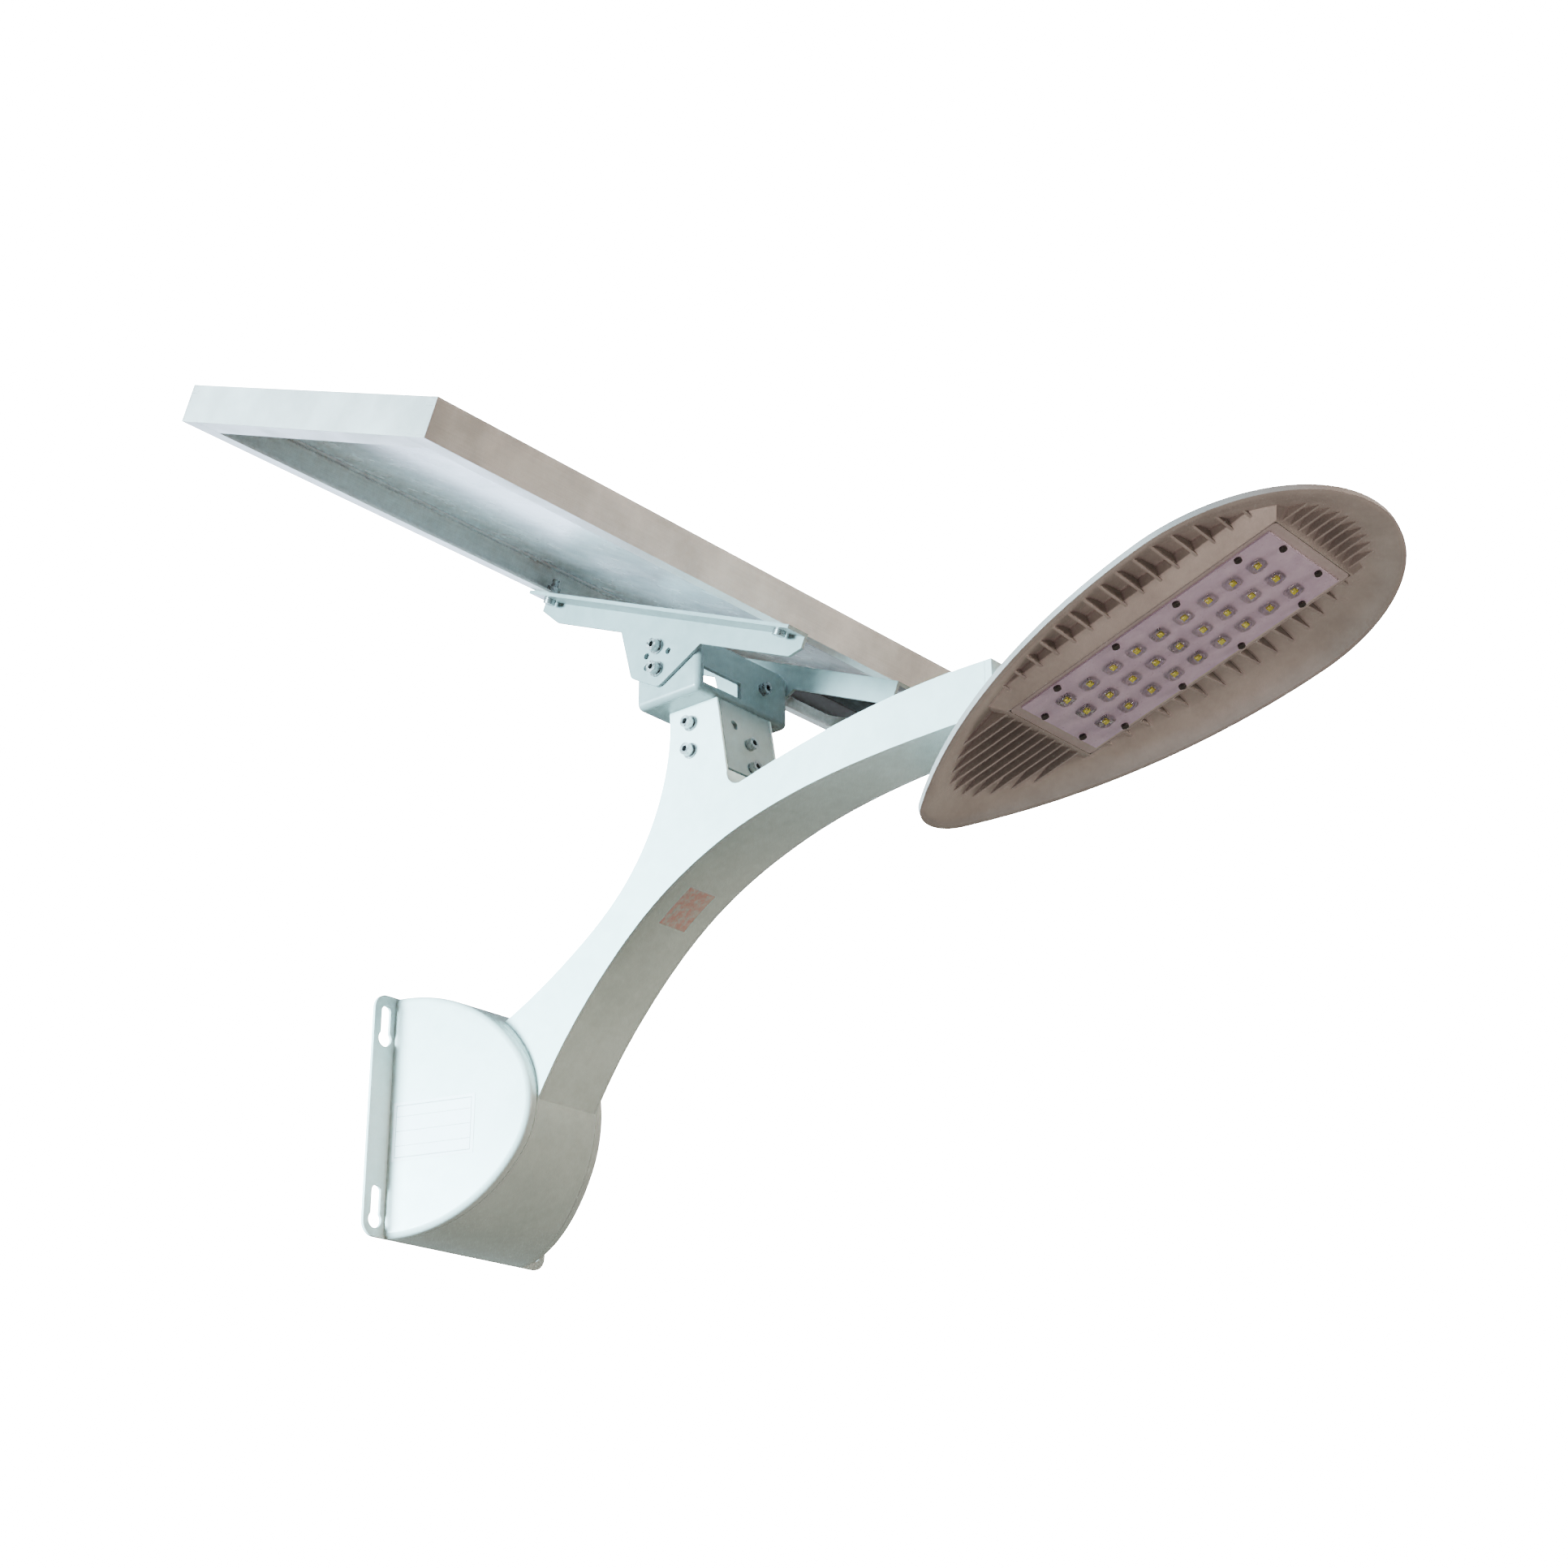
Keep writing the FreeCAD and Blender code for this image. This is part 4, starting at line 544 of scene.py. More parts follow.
@dataclass(frozen=True)
class SolarCells(CellGrid):
    """Monocrystalline silicon cells: blue-black squares, thin fingers and silver busbars.

    The gap starts at 0.488 of a cell from its middle, its corners are cut where the two
    distances add up to 0.93, and a finger fills 0.12 of each 2.6 mm step. The step is coarser
    than real, so that it shows.
    """

    busbars: int = 3
    gap: float = 0.488
    corner: float = 0.93
    busbar: float = 0.024
    finger_step: float = 2.6
    finger: float = 0.12
    finger_tone: float = 0.1
    flake: float = 30.0

    def build(self) -> bpy.types.Material:
        """Build the cell pattern in the plane of the panel.

        Returns:
            The material.
        """
        made, tree, shader, _ = self.start()
        plane, parts, across, edge_x, edge_y = self.grid(tree)
        farther = add(tree, Kind.MATH, {0: edge_x, 1: edge_y}, operation="MAXIMUM")
        gap = add(tree, Kind.MATH, {0: farther, 1: self.gap}, operation="GREATER_THAN")
        both = add(tree, Kind.MATH, {0: edge_x, 1: edge_y}, operation="ADD")
        corner = add(tree, Kind.MATH, {0: both, 1: self.corner}, operation="GREATER_THAN")
        bare = add(tree, Kind.MATH, {0: gap, 1: corner}, operation="MAXIMUM")
        steps = add(tree, Kind.MATH, {0: across, 1: float(self.busbars)}, operation="MULTIPLY")
        from_bar = from_middle(tree, add(tree, Kind.MATH, {0: steps}, operation="FRACT"))
        bar = add(tree, Kind.MATH, {0: from_bar, 1: self.busbar}, operation="LESS_THAN")
        rows = add(tree, Kind.MATH, {0: parts.outputs["Y"], 1: self.finger_step * MM},
                   operation="DIVIDE")
        row = add(tree, Kind.MATH, {0: rows}, operation="FRACT")
        finger = add(tree, Kind.MATH, {0: row, 1: self.finger}, operation="LESS_THAN")
        faint = add(tree, Kind.MATH, {0: finger, 1: self.finger_tone}, operation="MULTIPLY")
        silver = add(tree, Kind.MATH, {0: bar, 1: faint}, operation="MAXIMUM")
        flake = add(tree, Kind.NOISE, {"Vector": plane, "Scale": per_mm(self.flake),
                                       "Detail": 3, "Roughness": 0.6})
        silicon = add(tree, Kind.RAMP, {"Fac": flake}, [(0.3, "#0B1226"), (0.7, "#16213F")])
        metal = add(tree, Kind.MIX, {0: silver, 6: silicon, 7: linear("#B8BCC2")},
                    data_type="RGBA")
        sheet = add(tree, Kind.MIX, {0: bare, 6: metal.outputs[2], 7: linear("#DDE3E8")},
                    data_type="RGBA")
        feed(tree, shader, {
            "Base Color": sheet.outputs[2],
            "Roughness": add(tree, Kind.RANGE, {"Value": bare, "To Min": 0.22, "To Max": 0.5})})
        return made


@dataclass(frozen=True)
class BackFilm(CellGrid):
    """White laminated back film: glossy, with the cells' edges faintly embossed through it."""

    wave: float = 35.0
    emboss: float = 0.5

    def build(self) -> bpy.types.Material:
        """Build the film: soft gloss, cell emboss and small waves.

        Returns:
            The material.
        """
        made, tree, shader, _ = self.start()
        plane, _, _, edge_x, edge_y = self.grid(tree)
        farther = add(tree, Kind.MATH, {0: edge_x, 1: edge_y}, operation="MAXIMUM")
        edge = add(tree, Kind.RANGE, {"Value": farther, "From Min": 0.465, "From Max": 0.49})
        wave = add(tree, Kind.NOISE, {"Vector": plane, "Scale": per_mm(self.wave), "Detail": 2,
                                      "Roughness": 0.5})
        height = add(tree, Kind.MATH, {0: edge, 1: -self.emboss, 2: wave},
                     operation="MULTIPLY_ADD")
        feed(tree, shader, {
            "Base Color": add(tree, Kind.RAMP, {"Fac": wave},
                              [(0.3, "#D9E2EA"), (0.7, "#EDF3F8")]),
            "Roughness": scatter(tree, wave, 0.2, 0.3),
            "Normal": add(tree, Kind.BUMP, {"Height": height, "Distance": 0.25 * MM,
                                            "Strength": 0.5}),
            "Coat Weight": 0.4, "Coat Roughness": 0.12})
        return made


@dataclass(frozen=True)
class RuledLabel(Finish):
    """Blank polyester rating label: white with a thin printed frame and rules, no lettering.

    The frame runs at 0.46 of the width and 0.44 of the height from the middle, and the rules
    stand at equal steps of the height.
    """

    corner: Point = (0.0086, 0.0, -0.050)
    width: float = 93.9
    height: float = 63.0
    rules: int = 4
    rule: float = 0.035
    frame_x: float = 0.46
    frame_z: float = 0.44
    line_x: float = 0.004
    line_z: float = 0.008
    ink: float = 0.8
    mottle: float = 20.0

    def build(self) -> bpy.types.Material:
        """Build the label with a border and evenly spaced rules.

        Returns:
            The material.
        """
        made, tree, shader, space = self.start()
        sizes = (1 / (self.width * MM), 1.0, 1 / (self.height * MM))
        parts = add(tree, Kind.SPLIT, {0: turned(tree, self.corner, (0.0, 0.0, 0.0), sizes)})
        side_x = from_middle(tree, parts.outputs["X"])
        side_z = from_middle(tree, parts.outputs["Z"])
        upright = add(tree, Kind.MATH, {0: side_x, 1: self.frame_x, 2: self.line_x},
                      operation="COMPARE")
        level = add(tree, Kind.MATH, {0: side_z, 1: self.frame_z, 2: self.line_z},
                    operation="COMPARE")
        in_x = add(tree, Kind.MATH, {0: side_x, 1: self.frame_x + self.line_x},
                   operation="LESS_THAN")
        in_z = add(tree, Kind.MATH, {0: side_z, 1: self.frame_z + self.line_z},
                   operation="LESS_THAN")
        inside = add(tree, Kind.MATH, {0: in_x, 1: in_z}, operation="MULTIPLY")
        rows = add(tree, Kind.MATH, {0: parts.outputs["Z"], 1: float(self.rules)},
                   operation="MULTIPLY")
        row = add(tree, Kind.MATH, {0: rows}, operation="FRACT")
        rule = add(tree, Kind.MATH, {0: row, 1: self.rule}, operation="LESS_THAN")
        lines = add(tree, Kind.MATH, {0: level, 1: rule}, operation="MAXIMUM")
        drawn = add(tree, Kind.MATH, {0: lines, 1: upright}, operation="MAXIMUM")
        print_in = add(tree, Kind.MATH, {0: drawn, 1: inside}, operation="MULTIPLY")
        ink = add(tree, Kind.MATH, {0: print_in, 1: self.ink}, operation="MULTIPLY")
        paper = add(tree, Kind.NOISE, {"Vector": space, "Scale": per_mm(self.mottle),
                                       "Detail": 3, "Roughness": 0.6})
        white = add(tree, Kind.RAMP, {"Fac": paper}, [(0.3, "#E9EEEE"), (0.7, "#F6F9F9")])
        tone = add(tree, Kind.MIX, {0: ink, 6: white, 7: linear("#77807F")}, data_type="RGBA")
        feed(tree, shader, {"Base Color": tone.outputs[2],
                            "Roughness": scatter(tree, paper, 0.35, 0.5)})
        return made


# ---------------------------------------------------------------- surfaces
@dataclass
class Surface:
    """Points and faces of one closed surface, or of several put together."""

    points: np.ndarray
    faces: list[tuple[int, ...]]

    @staticmethod
    def grid(points: np.ndarray, round_u: bool = False, round_v: bool = False,
             cap_start: bool = False, cap_end: bool = False) -> "Surface":
        """Quads over a grid of points, P[u][v], with wrapped or capped ends.

        Args:
            points: array of shape (u, v, 3).
            round_u: join the last row to the first.
            round_v: join the last column to the first.
            cap_start: close the first row with one face.
            cap_end: close the last row with one face.

        Returns:
            The surface.
        """
        rows, columns = points.shape[:2]
        number = np.arange(rows * columns).reshape(rows, columns)
        ahead = np.roll(number, -1, 0) if round_u else number[1:]
        here = number if round_u else number[:-1]
        if round_v:
            beside_here, beside_ahead = np.roll(here, -1, 1), np.roll(ahead, -1, 1)
        else:
            beside_here, beside_ahead = here[:, 1:], ahead[:, 1:]
            here, ahead = here[:, :-1], ahead[:, :-1]
        quads = np.stack([here, beside_here, beside_ahead, ahead], -1).reshape(-1, 4)
        faces = [tuple(quad) for quad in quads.tolist()]
        if cap_start:
            faces.append(tuple(number[0][::-1].tolist()))
        if cap_end:
            faces.append(tuple(number[-1].tolist()))
        return Surface(points.reshape(-1, 3), faces)

    @staticmethod
    def joined(parts: Iterable["Surface"]) -> "Surface":
        """One surface that holds all the parts side by side.

        Args:
            parts: the surfaces.

        Returns:
            The surface, with each part's faces renumbered past the parts before it.
        """
        points, faces, start = [], [], 0
        for part in parts:
            points.append(part.points)
            faces += [tuple(k + start for k in face) for face in part.faces]
            start += len(part.points)
        return Surface(np.concatenate(points), faces)

    def placed(self, place: Matrix) -> "Surface":
        """The surface moved by a 4x4 matrix: each point p becomes R p + t.

        Args:
            place: the matrix, R and t.

        Returns:
            The moved surface.
        """
        turn = np.array(place, float)
        return Surface(self.points @ turn[:3, :3].T + turn[:3, 3], self.faces)


def make_piece(name: str, surface: Surface, body: Body, finish: bpy.types.Material,
               smooth: float, stands_for: Sequence[str]) -> bpy.types.Object:
    """Turn a surface into a finished piece that rides on a body.

    Args:
        name: name of the piece.
        surface: its points and faces in the frame.
        body: the body that it moves with.
        finish: its material.
        smooth: edges under this many degrees are shaded smooth.
        stands_for: CAD nodes that the piece replaces.

    Returns:
        The new object.
    """
    mesh = bpy.data.meshes.new(name)
    mesh.from_pydata(surface.points.tolist(), [], surface.faces)
    mesh.validate()
    shape = bmesh.new()
    shape.from_mesh(mesh)
    bmesh.ops.recalc_face_normals(shape, faces=shape.faces[:])
    shape.to_mesh(mesh)
    shape.free()
    piece = bpy.data.objects.new(name, mesh)
    bpy.context.scene.collection.objects.link(piece)
    mesh.materials.append(finish)
    smooth_by_angle(piece, smooth)
    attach(piece, body.value)
    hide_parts(*stands_for)
    LOG.info("piece %s: %d faces on %s", name, len(mesh.polygons), body.value)
    return piece


def smooth_by_angle(piece: bpy.types.Object, degrees: float) -> None:
    """Shade a piece smooth except across sharp edges.

    Args:
        piece: the piece.
        degrees: edges that turn by more than this stay sharp.
    """
    mesh = piece.data
    mesh.shade_smooth()
    mesh.set_sharp_from_angle(angle=math.radians(degrees))


@dataclass
class Softened:
    """A pressed, cast or cut CAD part copied with its edges rounded as the real one's are.

    The radius is in millimetres. Faces within flat degrees of one plane are joined first, and
    only edges that turn by more than angle degrees are rounded.
    """

    node: str
    body: Body
    slot: Slot
    radius: float
    steps: int = 2
    flat: float = 0.6
    angle: float = 28.0
    smooth: float = 30.0

    def make(self, finish: bpy.types.Material) -> bpy.types.Object:
        """Copy the node, merge it, clear flat edges and bevel the rest.

        Args:
            finish: material of the copy.

        Returns:
            The new object.
        """
        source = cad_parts[self.node]
        shape = bmesh.new()
        shape.from_mesh(source.data)
        bmesh.ops.remove_doubles(shape, verts=shape.verts[:], dist=SAME_POINT)
        bmesh.ops.dissolve_degenerate(shape, edges=shape.edges[:], dist=SAME_POINT)
        bmesh.ops.dissolve_limit(shape, angle_limit=math.radians(self.flat),
                                 verts=shape.verts[:], edges=shape.edges[:])
        mesh = bpy.data.meshes.new(self.node + "_soft")
        shape.to_mesh(mesh)
        shape.free()
        piece = bpy.data.objects.new(self.node + "_soft", mesh)
        bpy.context.scene.collection.objects.link(piece)
        mesh.materials.append(finish)
        smooth_by_angle(piece, self.smooth)
        bevel = piece.modifiers.new("edge", "BEVEL")
        bevel.width = self.radius * MM
        bevel.segments = self.steps
        bevel.limit_method = "ANGLE"
        bevel.angle_limit = math.radians(self.angle)
        bevel.use_clamp_overlap = True
        bevel.harden_normals = True
        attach(piece, self.body.value)
        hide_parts(self.node)
        LOG.info("piece %s: edges rounded %.1f mm", piece.name, self.radius)
        return piece


def dress(node: str, finish: bpy.types.Material) -> None:
    """Give a CAD node its finish and leave its mesh as it is.

    Args:
        node: name of the CAD node.
        finish: its material.
    """
    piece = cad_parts[node]
    piece.data.materials.clear()
    piece.data.materials.append(finish)
    LOG.info("node %s: finish %s", node, finish.name)


# ---------------------------------------------------------------- sub-assemblies
@dataclass
class Palette:
    """Every finish of the lamp, built once."""

    white: bpy.types.Material = field(init=False)
    grey: bpy.types.Material = field(init=False)
    steel: bpy.types.Material = field(init=False)
    rail: bpy.types.Material = field(init=False)
    cast: bpy.types.Material = field(init=False)
    plate: bpy.types.Material = field(init=False)
    board: bpy.types.Material = field(init=False)
    glass: bpy.types.Material = field(init=False)
    lens: bpy.types.Material = field(init=False)
    phosphor: bpy.types.Material = field(init=False)
    cells: bpy.types.Material = field(init=False)
    film: bpy.types.Material = field(init=False)
    black: bpy.types.Material = field(init=False)
    rubber: bpy.types.Material = field(init=False)
    label: bpy.types.Material = field(init=False)
    sticker: bpy.types.Material = field(init=False)
    dark_steel: bpy.types.Material = field(init=False)
    battery: bpy.types.Material = field(init=False)

    def __post_init__(self) -> None:
        """Build the finishes, each once."""
        self.white = PowderCoat("white_powder_coat").build()
        self.grey = PowderCoat("grey_powder_coat", colour="#8C9998", shade="#7F8C8B").build()
        self.steel = ZincSteel("zinc_plated_steel").build()
        self.rail = Anodised("anodised_aluminium_rail").build()
        self.cast = CastAluminium("sprayed_die_casting").build()
        self.plate = CastAluminium("milled_aluminium_plate", colour="#B9AFB0", shade="#ADA2A4",
                                   metal=0.2, gloss_rough=0.42, grain=2.0).build()
        self.board = Plastic("violet_white_solder_mask", colour="#C3B4C9", shade="#B6A6BE",
                             gloss_rough=0.32, texture=3.0, depth=0.02).build()
        self.glass = ClearSheet("tempered_glass", tint="#EAF6F3", ior=1.52,
                                gloss_rough=0.04, ripple=40.0).build()
        self.lens = ClearSheet("moulded_acrylic_lens").build()
        self.phosphor = Plastic("phosphor_resin", colour="#E8E05A", shade="#DCD040",
                                gloss_rough=0.3, texture=1.0).build()
        self.dark_steel = ZincSteel("dark_oxide_screws", colour="#55504F", shade="#3A3635",
                                    gloss_rough=0.38).build()
        self.cells = SolarCells("monocrystalline_silicon").build()
        self.film = BackFilm("white_back_film").build()
        self.black = Plastic("black_abs").build()
        self.rubber = Plastic("black_epdm_rubber", colour="#161617", shade="#101011",
                              gloss_rough=0.6).build()
        self.label = RuledLabel("blank_ruled_label").build()
        self.sticker = StickerCoat("white_coat_with_blank_sticker").build()
        self.battery = Plastic("blue_shrink_sleeve", colour="#1D3E7A", shade="#17336A",
                               gloss_rough=0.25, texture=6.0).build()


@dataclass
class BaseAndArm:
    """Wall flange, half-round box, forked arm, stem and saddle; edges in millimetres."""

    coated_edge: float = 1.1
    folded_edge: float = 0.9
    coated: tuple[str, ...] = ("back_plate", "box_side_near", "box_side_far", "box_skin",
                               "arm_side_near", "arm_side_far", "arm_crotch_skin",
                               "arm_back_skin", "arm_end_fork", "hatch_cover", "hatch_tabs")
    grey_parts: tuple[str, ...] = ("saddle_stem", "post_cover", "saddle")
    fasteners: tuple[str, ...] = ("hatch_screws", "strap_screws", "fork_bolt", "fork_nut",
                                  "stem_bolts", "stem_washers", "stem_nuts", "cover_bolts",
                                  "cover_nuts", "saddle_bolt", "saddle_nut", "battery_strap")

    def build(self, palette: Palette) -> None:
        """Make and dress every piece of the base.

        Args:
            palette: the finishes.
        """
        for node in self.coated:
            Softened(node, Body.BASE, Slot.WHITE, self.coated_edge).make(palette.white)
        Softened("arm_underside", Body.BASE, Slot.WHITE, self.coated_edge).make(palette.sticker)
        for node in self.grey_parts:
            Softened(node, Body.BASE, Slot.GREY, self.folded_edge).make(palette.grey)
        for node in self.fasteners:
            dress(node, palette.steel)
        dress("spec_label", palette.label)
        dress("battery_pack", palette.battery)
        dress("charge_controller", palette.black)


@dataclass
class SolarPanel:
    """Tilt brackets and the framed panel; edges in millimetres."""

    bracket_edge: float = 0.8
    rail_edge: float = 0.5
    moulded_edge: float = 1.2
    grey_parts: tuple[str, ...] = ("tilt_bracket_near", "tilt_bracket_far")
    rails: tuple[str, ...] = ("panel_rail_low", "panel_rail_high", "panel_rail_near",
                              "panel_rail_far")
    fasteners: tuple[str, ...] = ("pivot_bolts", "lock_bolts", "tilt_washers", "pivot_nuts",
                                  "lock_nuts", "clamp_bolts", "clamp_nuts")

    def build(self, palette: Palette) -> None:
        """Make and dress every piece of the panel.

        Args:
            palette: the finishes.
        """
        for node in self.grey_parts:
            Softened(node, Body.PANEL, Slot.GREY, self.bracket_edge).make(palette.grey)
        for node in self.rails:
            Softened(node, Body.PANEL, Slot.RAIL, self.rail_edge).make(palette.rail)
        for node in self.fasteners:
            dress(node, palette.steel)
        dress("solar_cells", palette.cells)
        dress("panel_glass", palette.glass)
        dress("backsheet", palette.film)
        moulded = Softened("junction_box", Body.PANEL, Slot.PLASTIC, self.moulded_edge)
        moulded.make(palette.black)


def separate_solids(node: str) -> list[tuple[Vector, list[Vector]]]:
    """Find the separate solids of a CAD node by walking along their edges.

    Args:
        node: name of the CAD node.

    Returns:
        For each solid its middle and its points.
    """
    shape = bmesh.new()
    shape.from_mesh(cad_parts[node].data)
    bmesh.ops.remove_doubles(shape, verts=shape.verts[:], dist=SAME_POINT)
    left = set(shape.verts)
    found = []
    while left:
        start = left.pop()
        group, queue = [start], [start]
        while queue:
            here = queue.pop()
            for edge in here.link_edges:
                other = edge.other_vert(here)
                if other in left:
                    left.remove(other)
                    group.append(other)
                    queue.append(other)
        points = [point.co.copy() for point in group]
        low = Vector([min(p[k] for p in points) for k in range(3)])
        high = Vector([max(p[k] for p in points) for k in range(3)])
        found.append(((low + high) / 2, points))
    shape.free()
    return found


@dataclass
class LensArray:
    """Moulded acrylic lenses: each a rounded square foot that rises into a dome.

    Every ring is a superellipse |u|^n + |v|^n = r^n whose power n falls from 5 at the foot to
    2 where the dome starts, so the foot is nearly square and the dome is round. Sizes are in
    millimetres.
    """

    tilt: float = math.radians(18.25)
    half: float = 8.6
    square_power: float = 5.0
    ledge_power: float = 2.4
    round_power: float = 2.0
    side_height: float = 1.0
    bevel: float = 0.35
    ledge: float = 1.3
    foot_height: float = 1.4
    dome_step: float = 1.5
    dome_height: float = 4.5
    dome_rings: int = 7
    around: int = 28
    smooth: float = 40.0

    def rings(self) -> np.ndarray:
        """Rings of one lens from the middle of its foot to the tip of its dome.

        The foot's rings follow its square edge. The dome's are r cos a wide and h sin a high,
        for a from zero to a right angle.

        Returns:
            Rows of radius, height below the board and power.
        """
        foot = [(0.0, 0.0, self.square_power),
                (self.half, 0.0, self.square_power),
                (self.half, self.side_height, self.square_power),
                (self.half - self.bevel, self.side_height + self.bevel, self.square_power),
                (self.half - self.ledge, self.foot_height, self.ledge_power)]
        angle = np.linspace(0.0, math.pi / 2, self.dome_rings)
        dome = np.stack([(self.half - self.dome_step) * np.cos(angle),
                         self.foot_height + self.dome_height * np.sin(angle),
                         np.full(self.dome_rings, self.round_power)], -1)
        return np.concatenate([foot, dome])

    def one(self) -> Surface:
        """One lens with its foot at zero and its dome along -Z.

        At angle t a ring of radius r and power n reaches r / (|cos t|^n + |sin t|^n)^(1/n).

        Returns:
            The surface.
        """
        angle = np.linspace(0, 2 * math.pi, self.around, endpoint=False)
        cos, sin = np.cos(angle), np.sin(angle)
        radius, height, power = (column[:, None] for column in self.rings().T)
        reach = radius / (np.abs(cos) ** power + np.abs(sin) ** power) ** (1 / power)
        points = np.stack([reach * cos, reach * sin, np.broadcast_to(-height, reach.shape)], -1)
        return Surface.grid(points * MM, round_v=True, cap_start=True, cap_end=True)

    def make(self, finish: bpy.types.Material) -> bpy.types.Object:
        """Put one lens where each CAD lens sits.

        Args:
            finish: material of the lenses.

        Returns:
            The new object, which holds all the lenses.
        """
        turn = Matrix.Rotation(-self.tilt, 4, "Y")
        sky = turn.to_3x3() @ Vector((0.0, 0.0, 1.0))
        lens = self.one()
        placed = []
        for middle, points in separate_solids("led_lenses"):
            top = max((point - middle).dot(sky) for point in points)
            placed.append(lens.placed(Matrix.Translation(middle + sky * top) @ turn))
        return make_piece("led_lenses_moulded", Surface.joined(placed), Body.HEAD, finish,
                          self.smooth, ("led_lenses",))


@dataclass
class LampHead:
    """Leaf-shaped die-cast head with its LED module; edges in millimetres."""

    shell_edge: float = 0.5
    plate_edge: float = 0.6
    cast_edge: float = 0.8
    cast_parts: tuple[str, ...] = ("driver_cover", "head_knuckle")
    fasteners: tuple[str, ...] = ("driver_cover_screws", "knuckle_screws")

    def build(self, palette: Palette) -> None:
        """Make and dress every piece of the head.

        Args:
            palette: the finishes.
        """
        Softened("lamp_housing", Body.HEAD, Slot.CAST, self.shell_edge).make(palette.cast)
        Softened("led_plate", Body.HEAD, Slot.PLATE, self.plate_edge).make(palette.plate)
        for node in self.cast_parts:
            Softened(node, Body.HEAD, Slot.CAST, self.cast_edge).make(palette.cast)
        LensArray().make(palette.lens)
        dress("led_board", palette.board)
        dress("led_chips", palette.phosphor)
        dress("led_screws", palette.dark_steel)
        for node in self.fasteners:
            dress(node, palette.steel)
        dress("driver_gasket", palette.rubber)
        dress("led_driver", palette.black)


@dataclass(frozen=True)
class SoftLight:
    """One soft square light: side in metres, power in watts, width of its beam in degrees."""

    name: str
    place: Point
    aim: Point
    side: float
    power: float
    colour: str
    beam: float = 180.0

    def hang(self) -> None:
        """Put the light in its place, facing its aim."""
        data = bpy.data.lights.new(self.name, "AREA")
        data.size = self.side
        data.spread = math.radians(self.beam)
        data.energy = self.power
        data.color = linear(self.colour)[:3]
        light = bpy.data.objects.new(self.name, data)
        light.location = self.place
        light.rotation_mode = "QUATERNION"
        away = Vector(self.place) - Vector(self.aim)
        light.rotation_quaternion = away.to_track_quat("Z", "Y")
        bpy.context.scene.collection.objects.link(light)


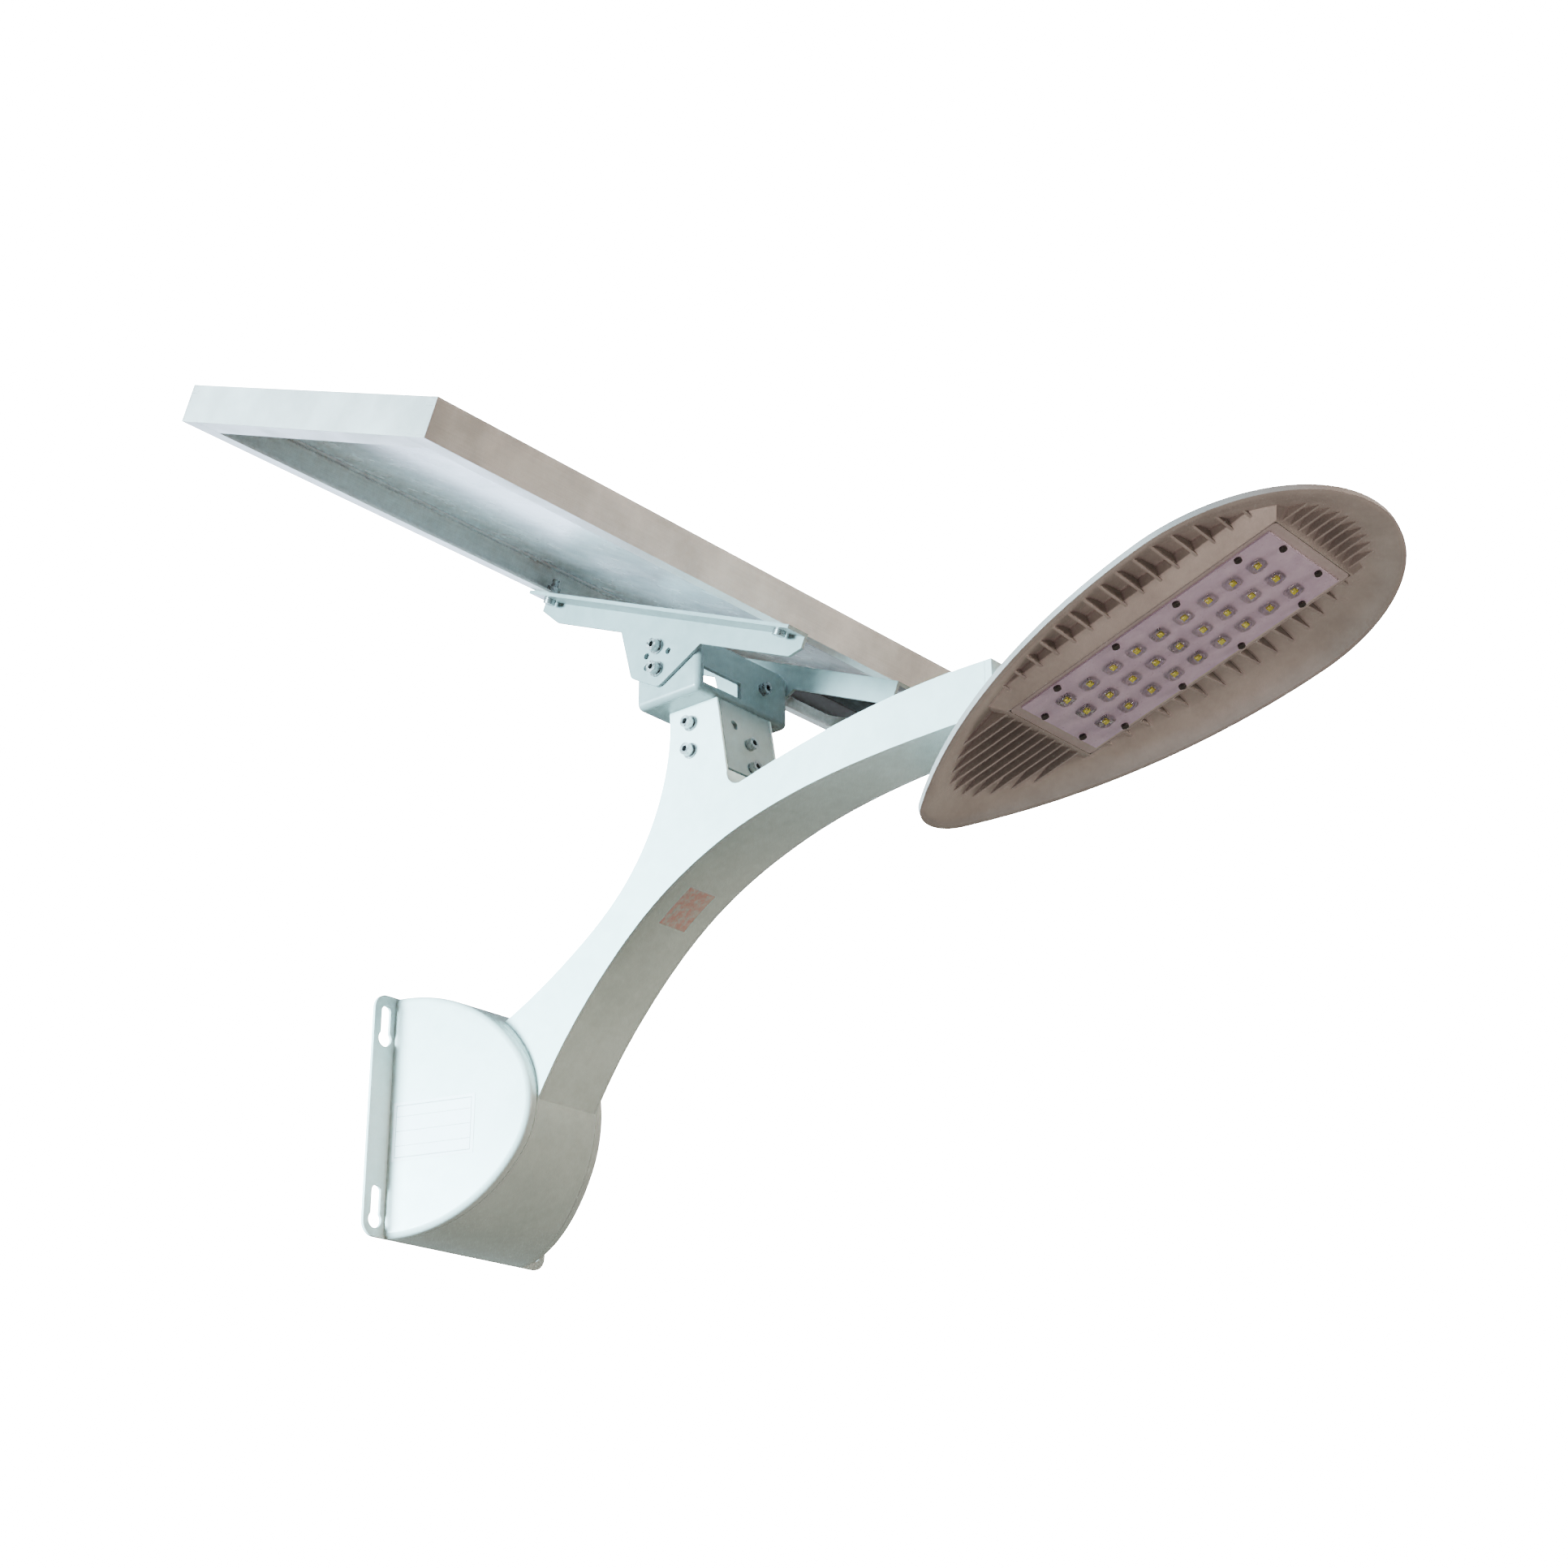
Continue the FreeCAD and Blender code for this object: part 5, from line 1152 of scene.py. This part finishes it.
@dataclass
class Studio:
    """Plain floor, soft walls, soft lights and the camera.

    The walls are dimmest and warmest toward dim_side. They light the lamp with wall_glow, and
    where the camera looks straight at them they are plain white at wall_seen.
    """

    eye: Point = (1.96481, -1.78418, -0.68329)
    look: Point = (-0.59454, 0.70671, 0.38353)
    up: Point = (0.25277, -0.28854, 0.92350)
    lens: float = 57.006
    sensor: float = 36.0
    floor_height: float = -0.95
    floor_half: float = 14.0
    dim_side: Point = (0.80, 0.25, -0.55)
    wall_glow: float = 0.42
    wall_seen: float = 40.0
    lights: tuple[SoftLight, ...] = (
        SoftLight("key_light", (-1.0, -3.2, 0.15), (0.1, 0.0, 0.03), 1.5, 80.0, "#CDF2FF", 34.0),
        SoftLight("front_light", (3.4, 0.6, 1.0), (0.55, -0.1, 0.5), 0.8, 3.2, "#FFF0E0", 24.0),
        SoftLight("bounce_card", (1.35, -0.55, -0.88), (1.17, 0.0, 0.36), 0.7, 1.5, "#FFE9DC",
                  60.0),
        SoftLight("fill_light", (1.2, 2.6, 2.2), (0.5, 0.0, 0.3), 2.4, 14.0, "#FFF8F0"),
        SoftLight("window_light", (-1.75, 0.95, 0.9), (0.35, -0.45, 0.47), 0.9, 22.0,
                  "#CFE3FF"))

    def build(self) -> None:
        """Make the whole studio."""
        self.camera()
        self.floor()
        self.sky()
        for light in self.lights:
            light.hang()

    def camera(self) -> None:
        """Camera at the viewing angle, its axes from look and up."""
        back = -Vector(self.look).normalized()
        right = Vector(self.up).cross(back).normalized()
        top = back.cross(right)
        data = bpy.data.cameras.new("camera")
        data.lens = self.lens
        data.sensor_width = self.sensor
        data.clip_start = 0.05
        data.clip_end = 60.0
        eye = bpy.data.objects.new("camera", data)
        eye.matrix_world = Matrix((
            (right.x, top.x, back.x, self.eye[0]),
            (right.y, top.y, back.y, self.eye[1]),
            (right.z, top.z, back.z, self.eye[2]),
            (0, 0, 0, 1)))
        bpy.context.scene.collection.objects.link(eye)
        bpy.context.scene.camera = eye

    def floor(self) -> None:
        """Wide plain floor under the lamp and the camera."""
        half, height = self.floor_half, self.floor_height
        mesh = bpy.data.meshes.new("floor")
        mesh.from_pydata([(-half, -half, height), (half, -half, height), (half, half, height),
                          (-half, half, height)], [], [(0, 1, 2, 3)])
        floor = bpy.data.objects.new("floor", mesh)
        bpy.context.scene.collection.objects.link(floor)
        made = bpy.data.materials.new("pale_warm_floor")
        made.use_nodes = True
        feed(made.node_tree, made.node_tree.nodes["Principled BSDF"],
             {"Base Color": linear("#C2B09C"), "Roughness": 0.8})
        mesh.materials.append(made)

    def sky(self) -> None:
        """Soft studio walls: bright and neutral all round, dimmer and warm on the +X side."""
        world = bpy.data.worlds.new("studio")
        bpy.context.scene.world = world
        world.use_nodes = True
        tree = world.node_tree
        aim = add(tree, Kind.PLACE).outputs["Generated"]
        toward = add(tree, Kind.VECTOR, {0: aim, 1: self.dim_side}, operation="DOT_PRODUCT")
        dimming = add(tree, Kind.RANGE, {"Value": toward.outputs["Value"], "From Min": -0.35,
                                         "From Max": 0.75})
        colour = add(tree, Kind.RAMP, {"Fac": dimming}, [(0.0, "#F0F5FF"), (0.45, "#AE9986"),
                                                         (1.0, "#6B4F38")])
        in_view = add(tree, Kind.RAY).outputs["Is Camera Ray"]
        shown = add(tree, Kind.MIX, {0: in_view, 6: colour, 7: linear("#FFFFFF")},
                    data_type="RGBA")
        feed(tree, tree.nodes["Background"], {
            "Color": shown.outputs[2],
            "Strength": add(tree, Kind.RANGE, {"Value": in_view, "To Min": self.wall_glow,
                                               "To Max": self.wall_seen})})


def main() -> None:
    """Build the lamp's sub-assemblies in order, then the studio."""
    logging.basicConfig(level=logging.INFO, format="%(name)s %(message)s")
    palette = Palette()
    BaseAndArm().build(palette)
    SolarPanel().build(palette)
    LampHead().build(palette)
    Studio().build()


if __name__ == "__main__":
    main()
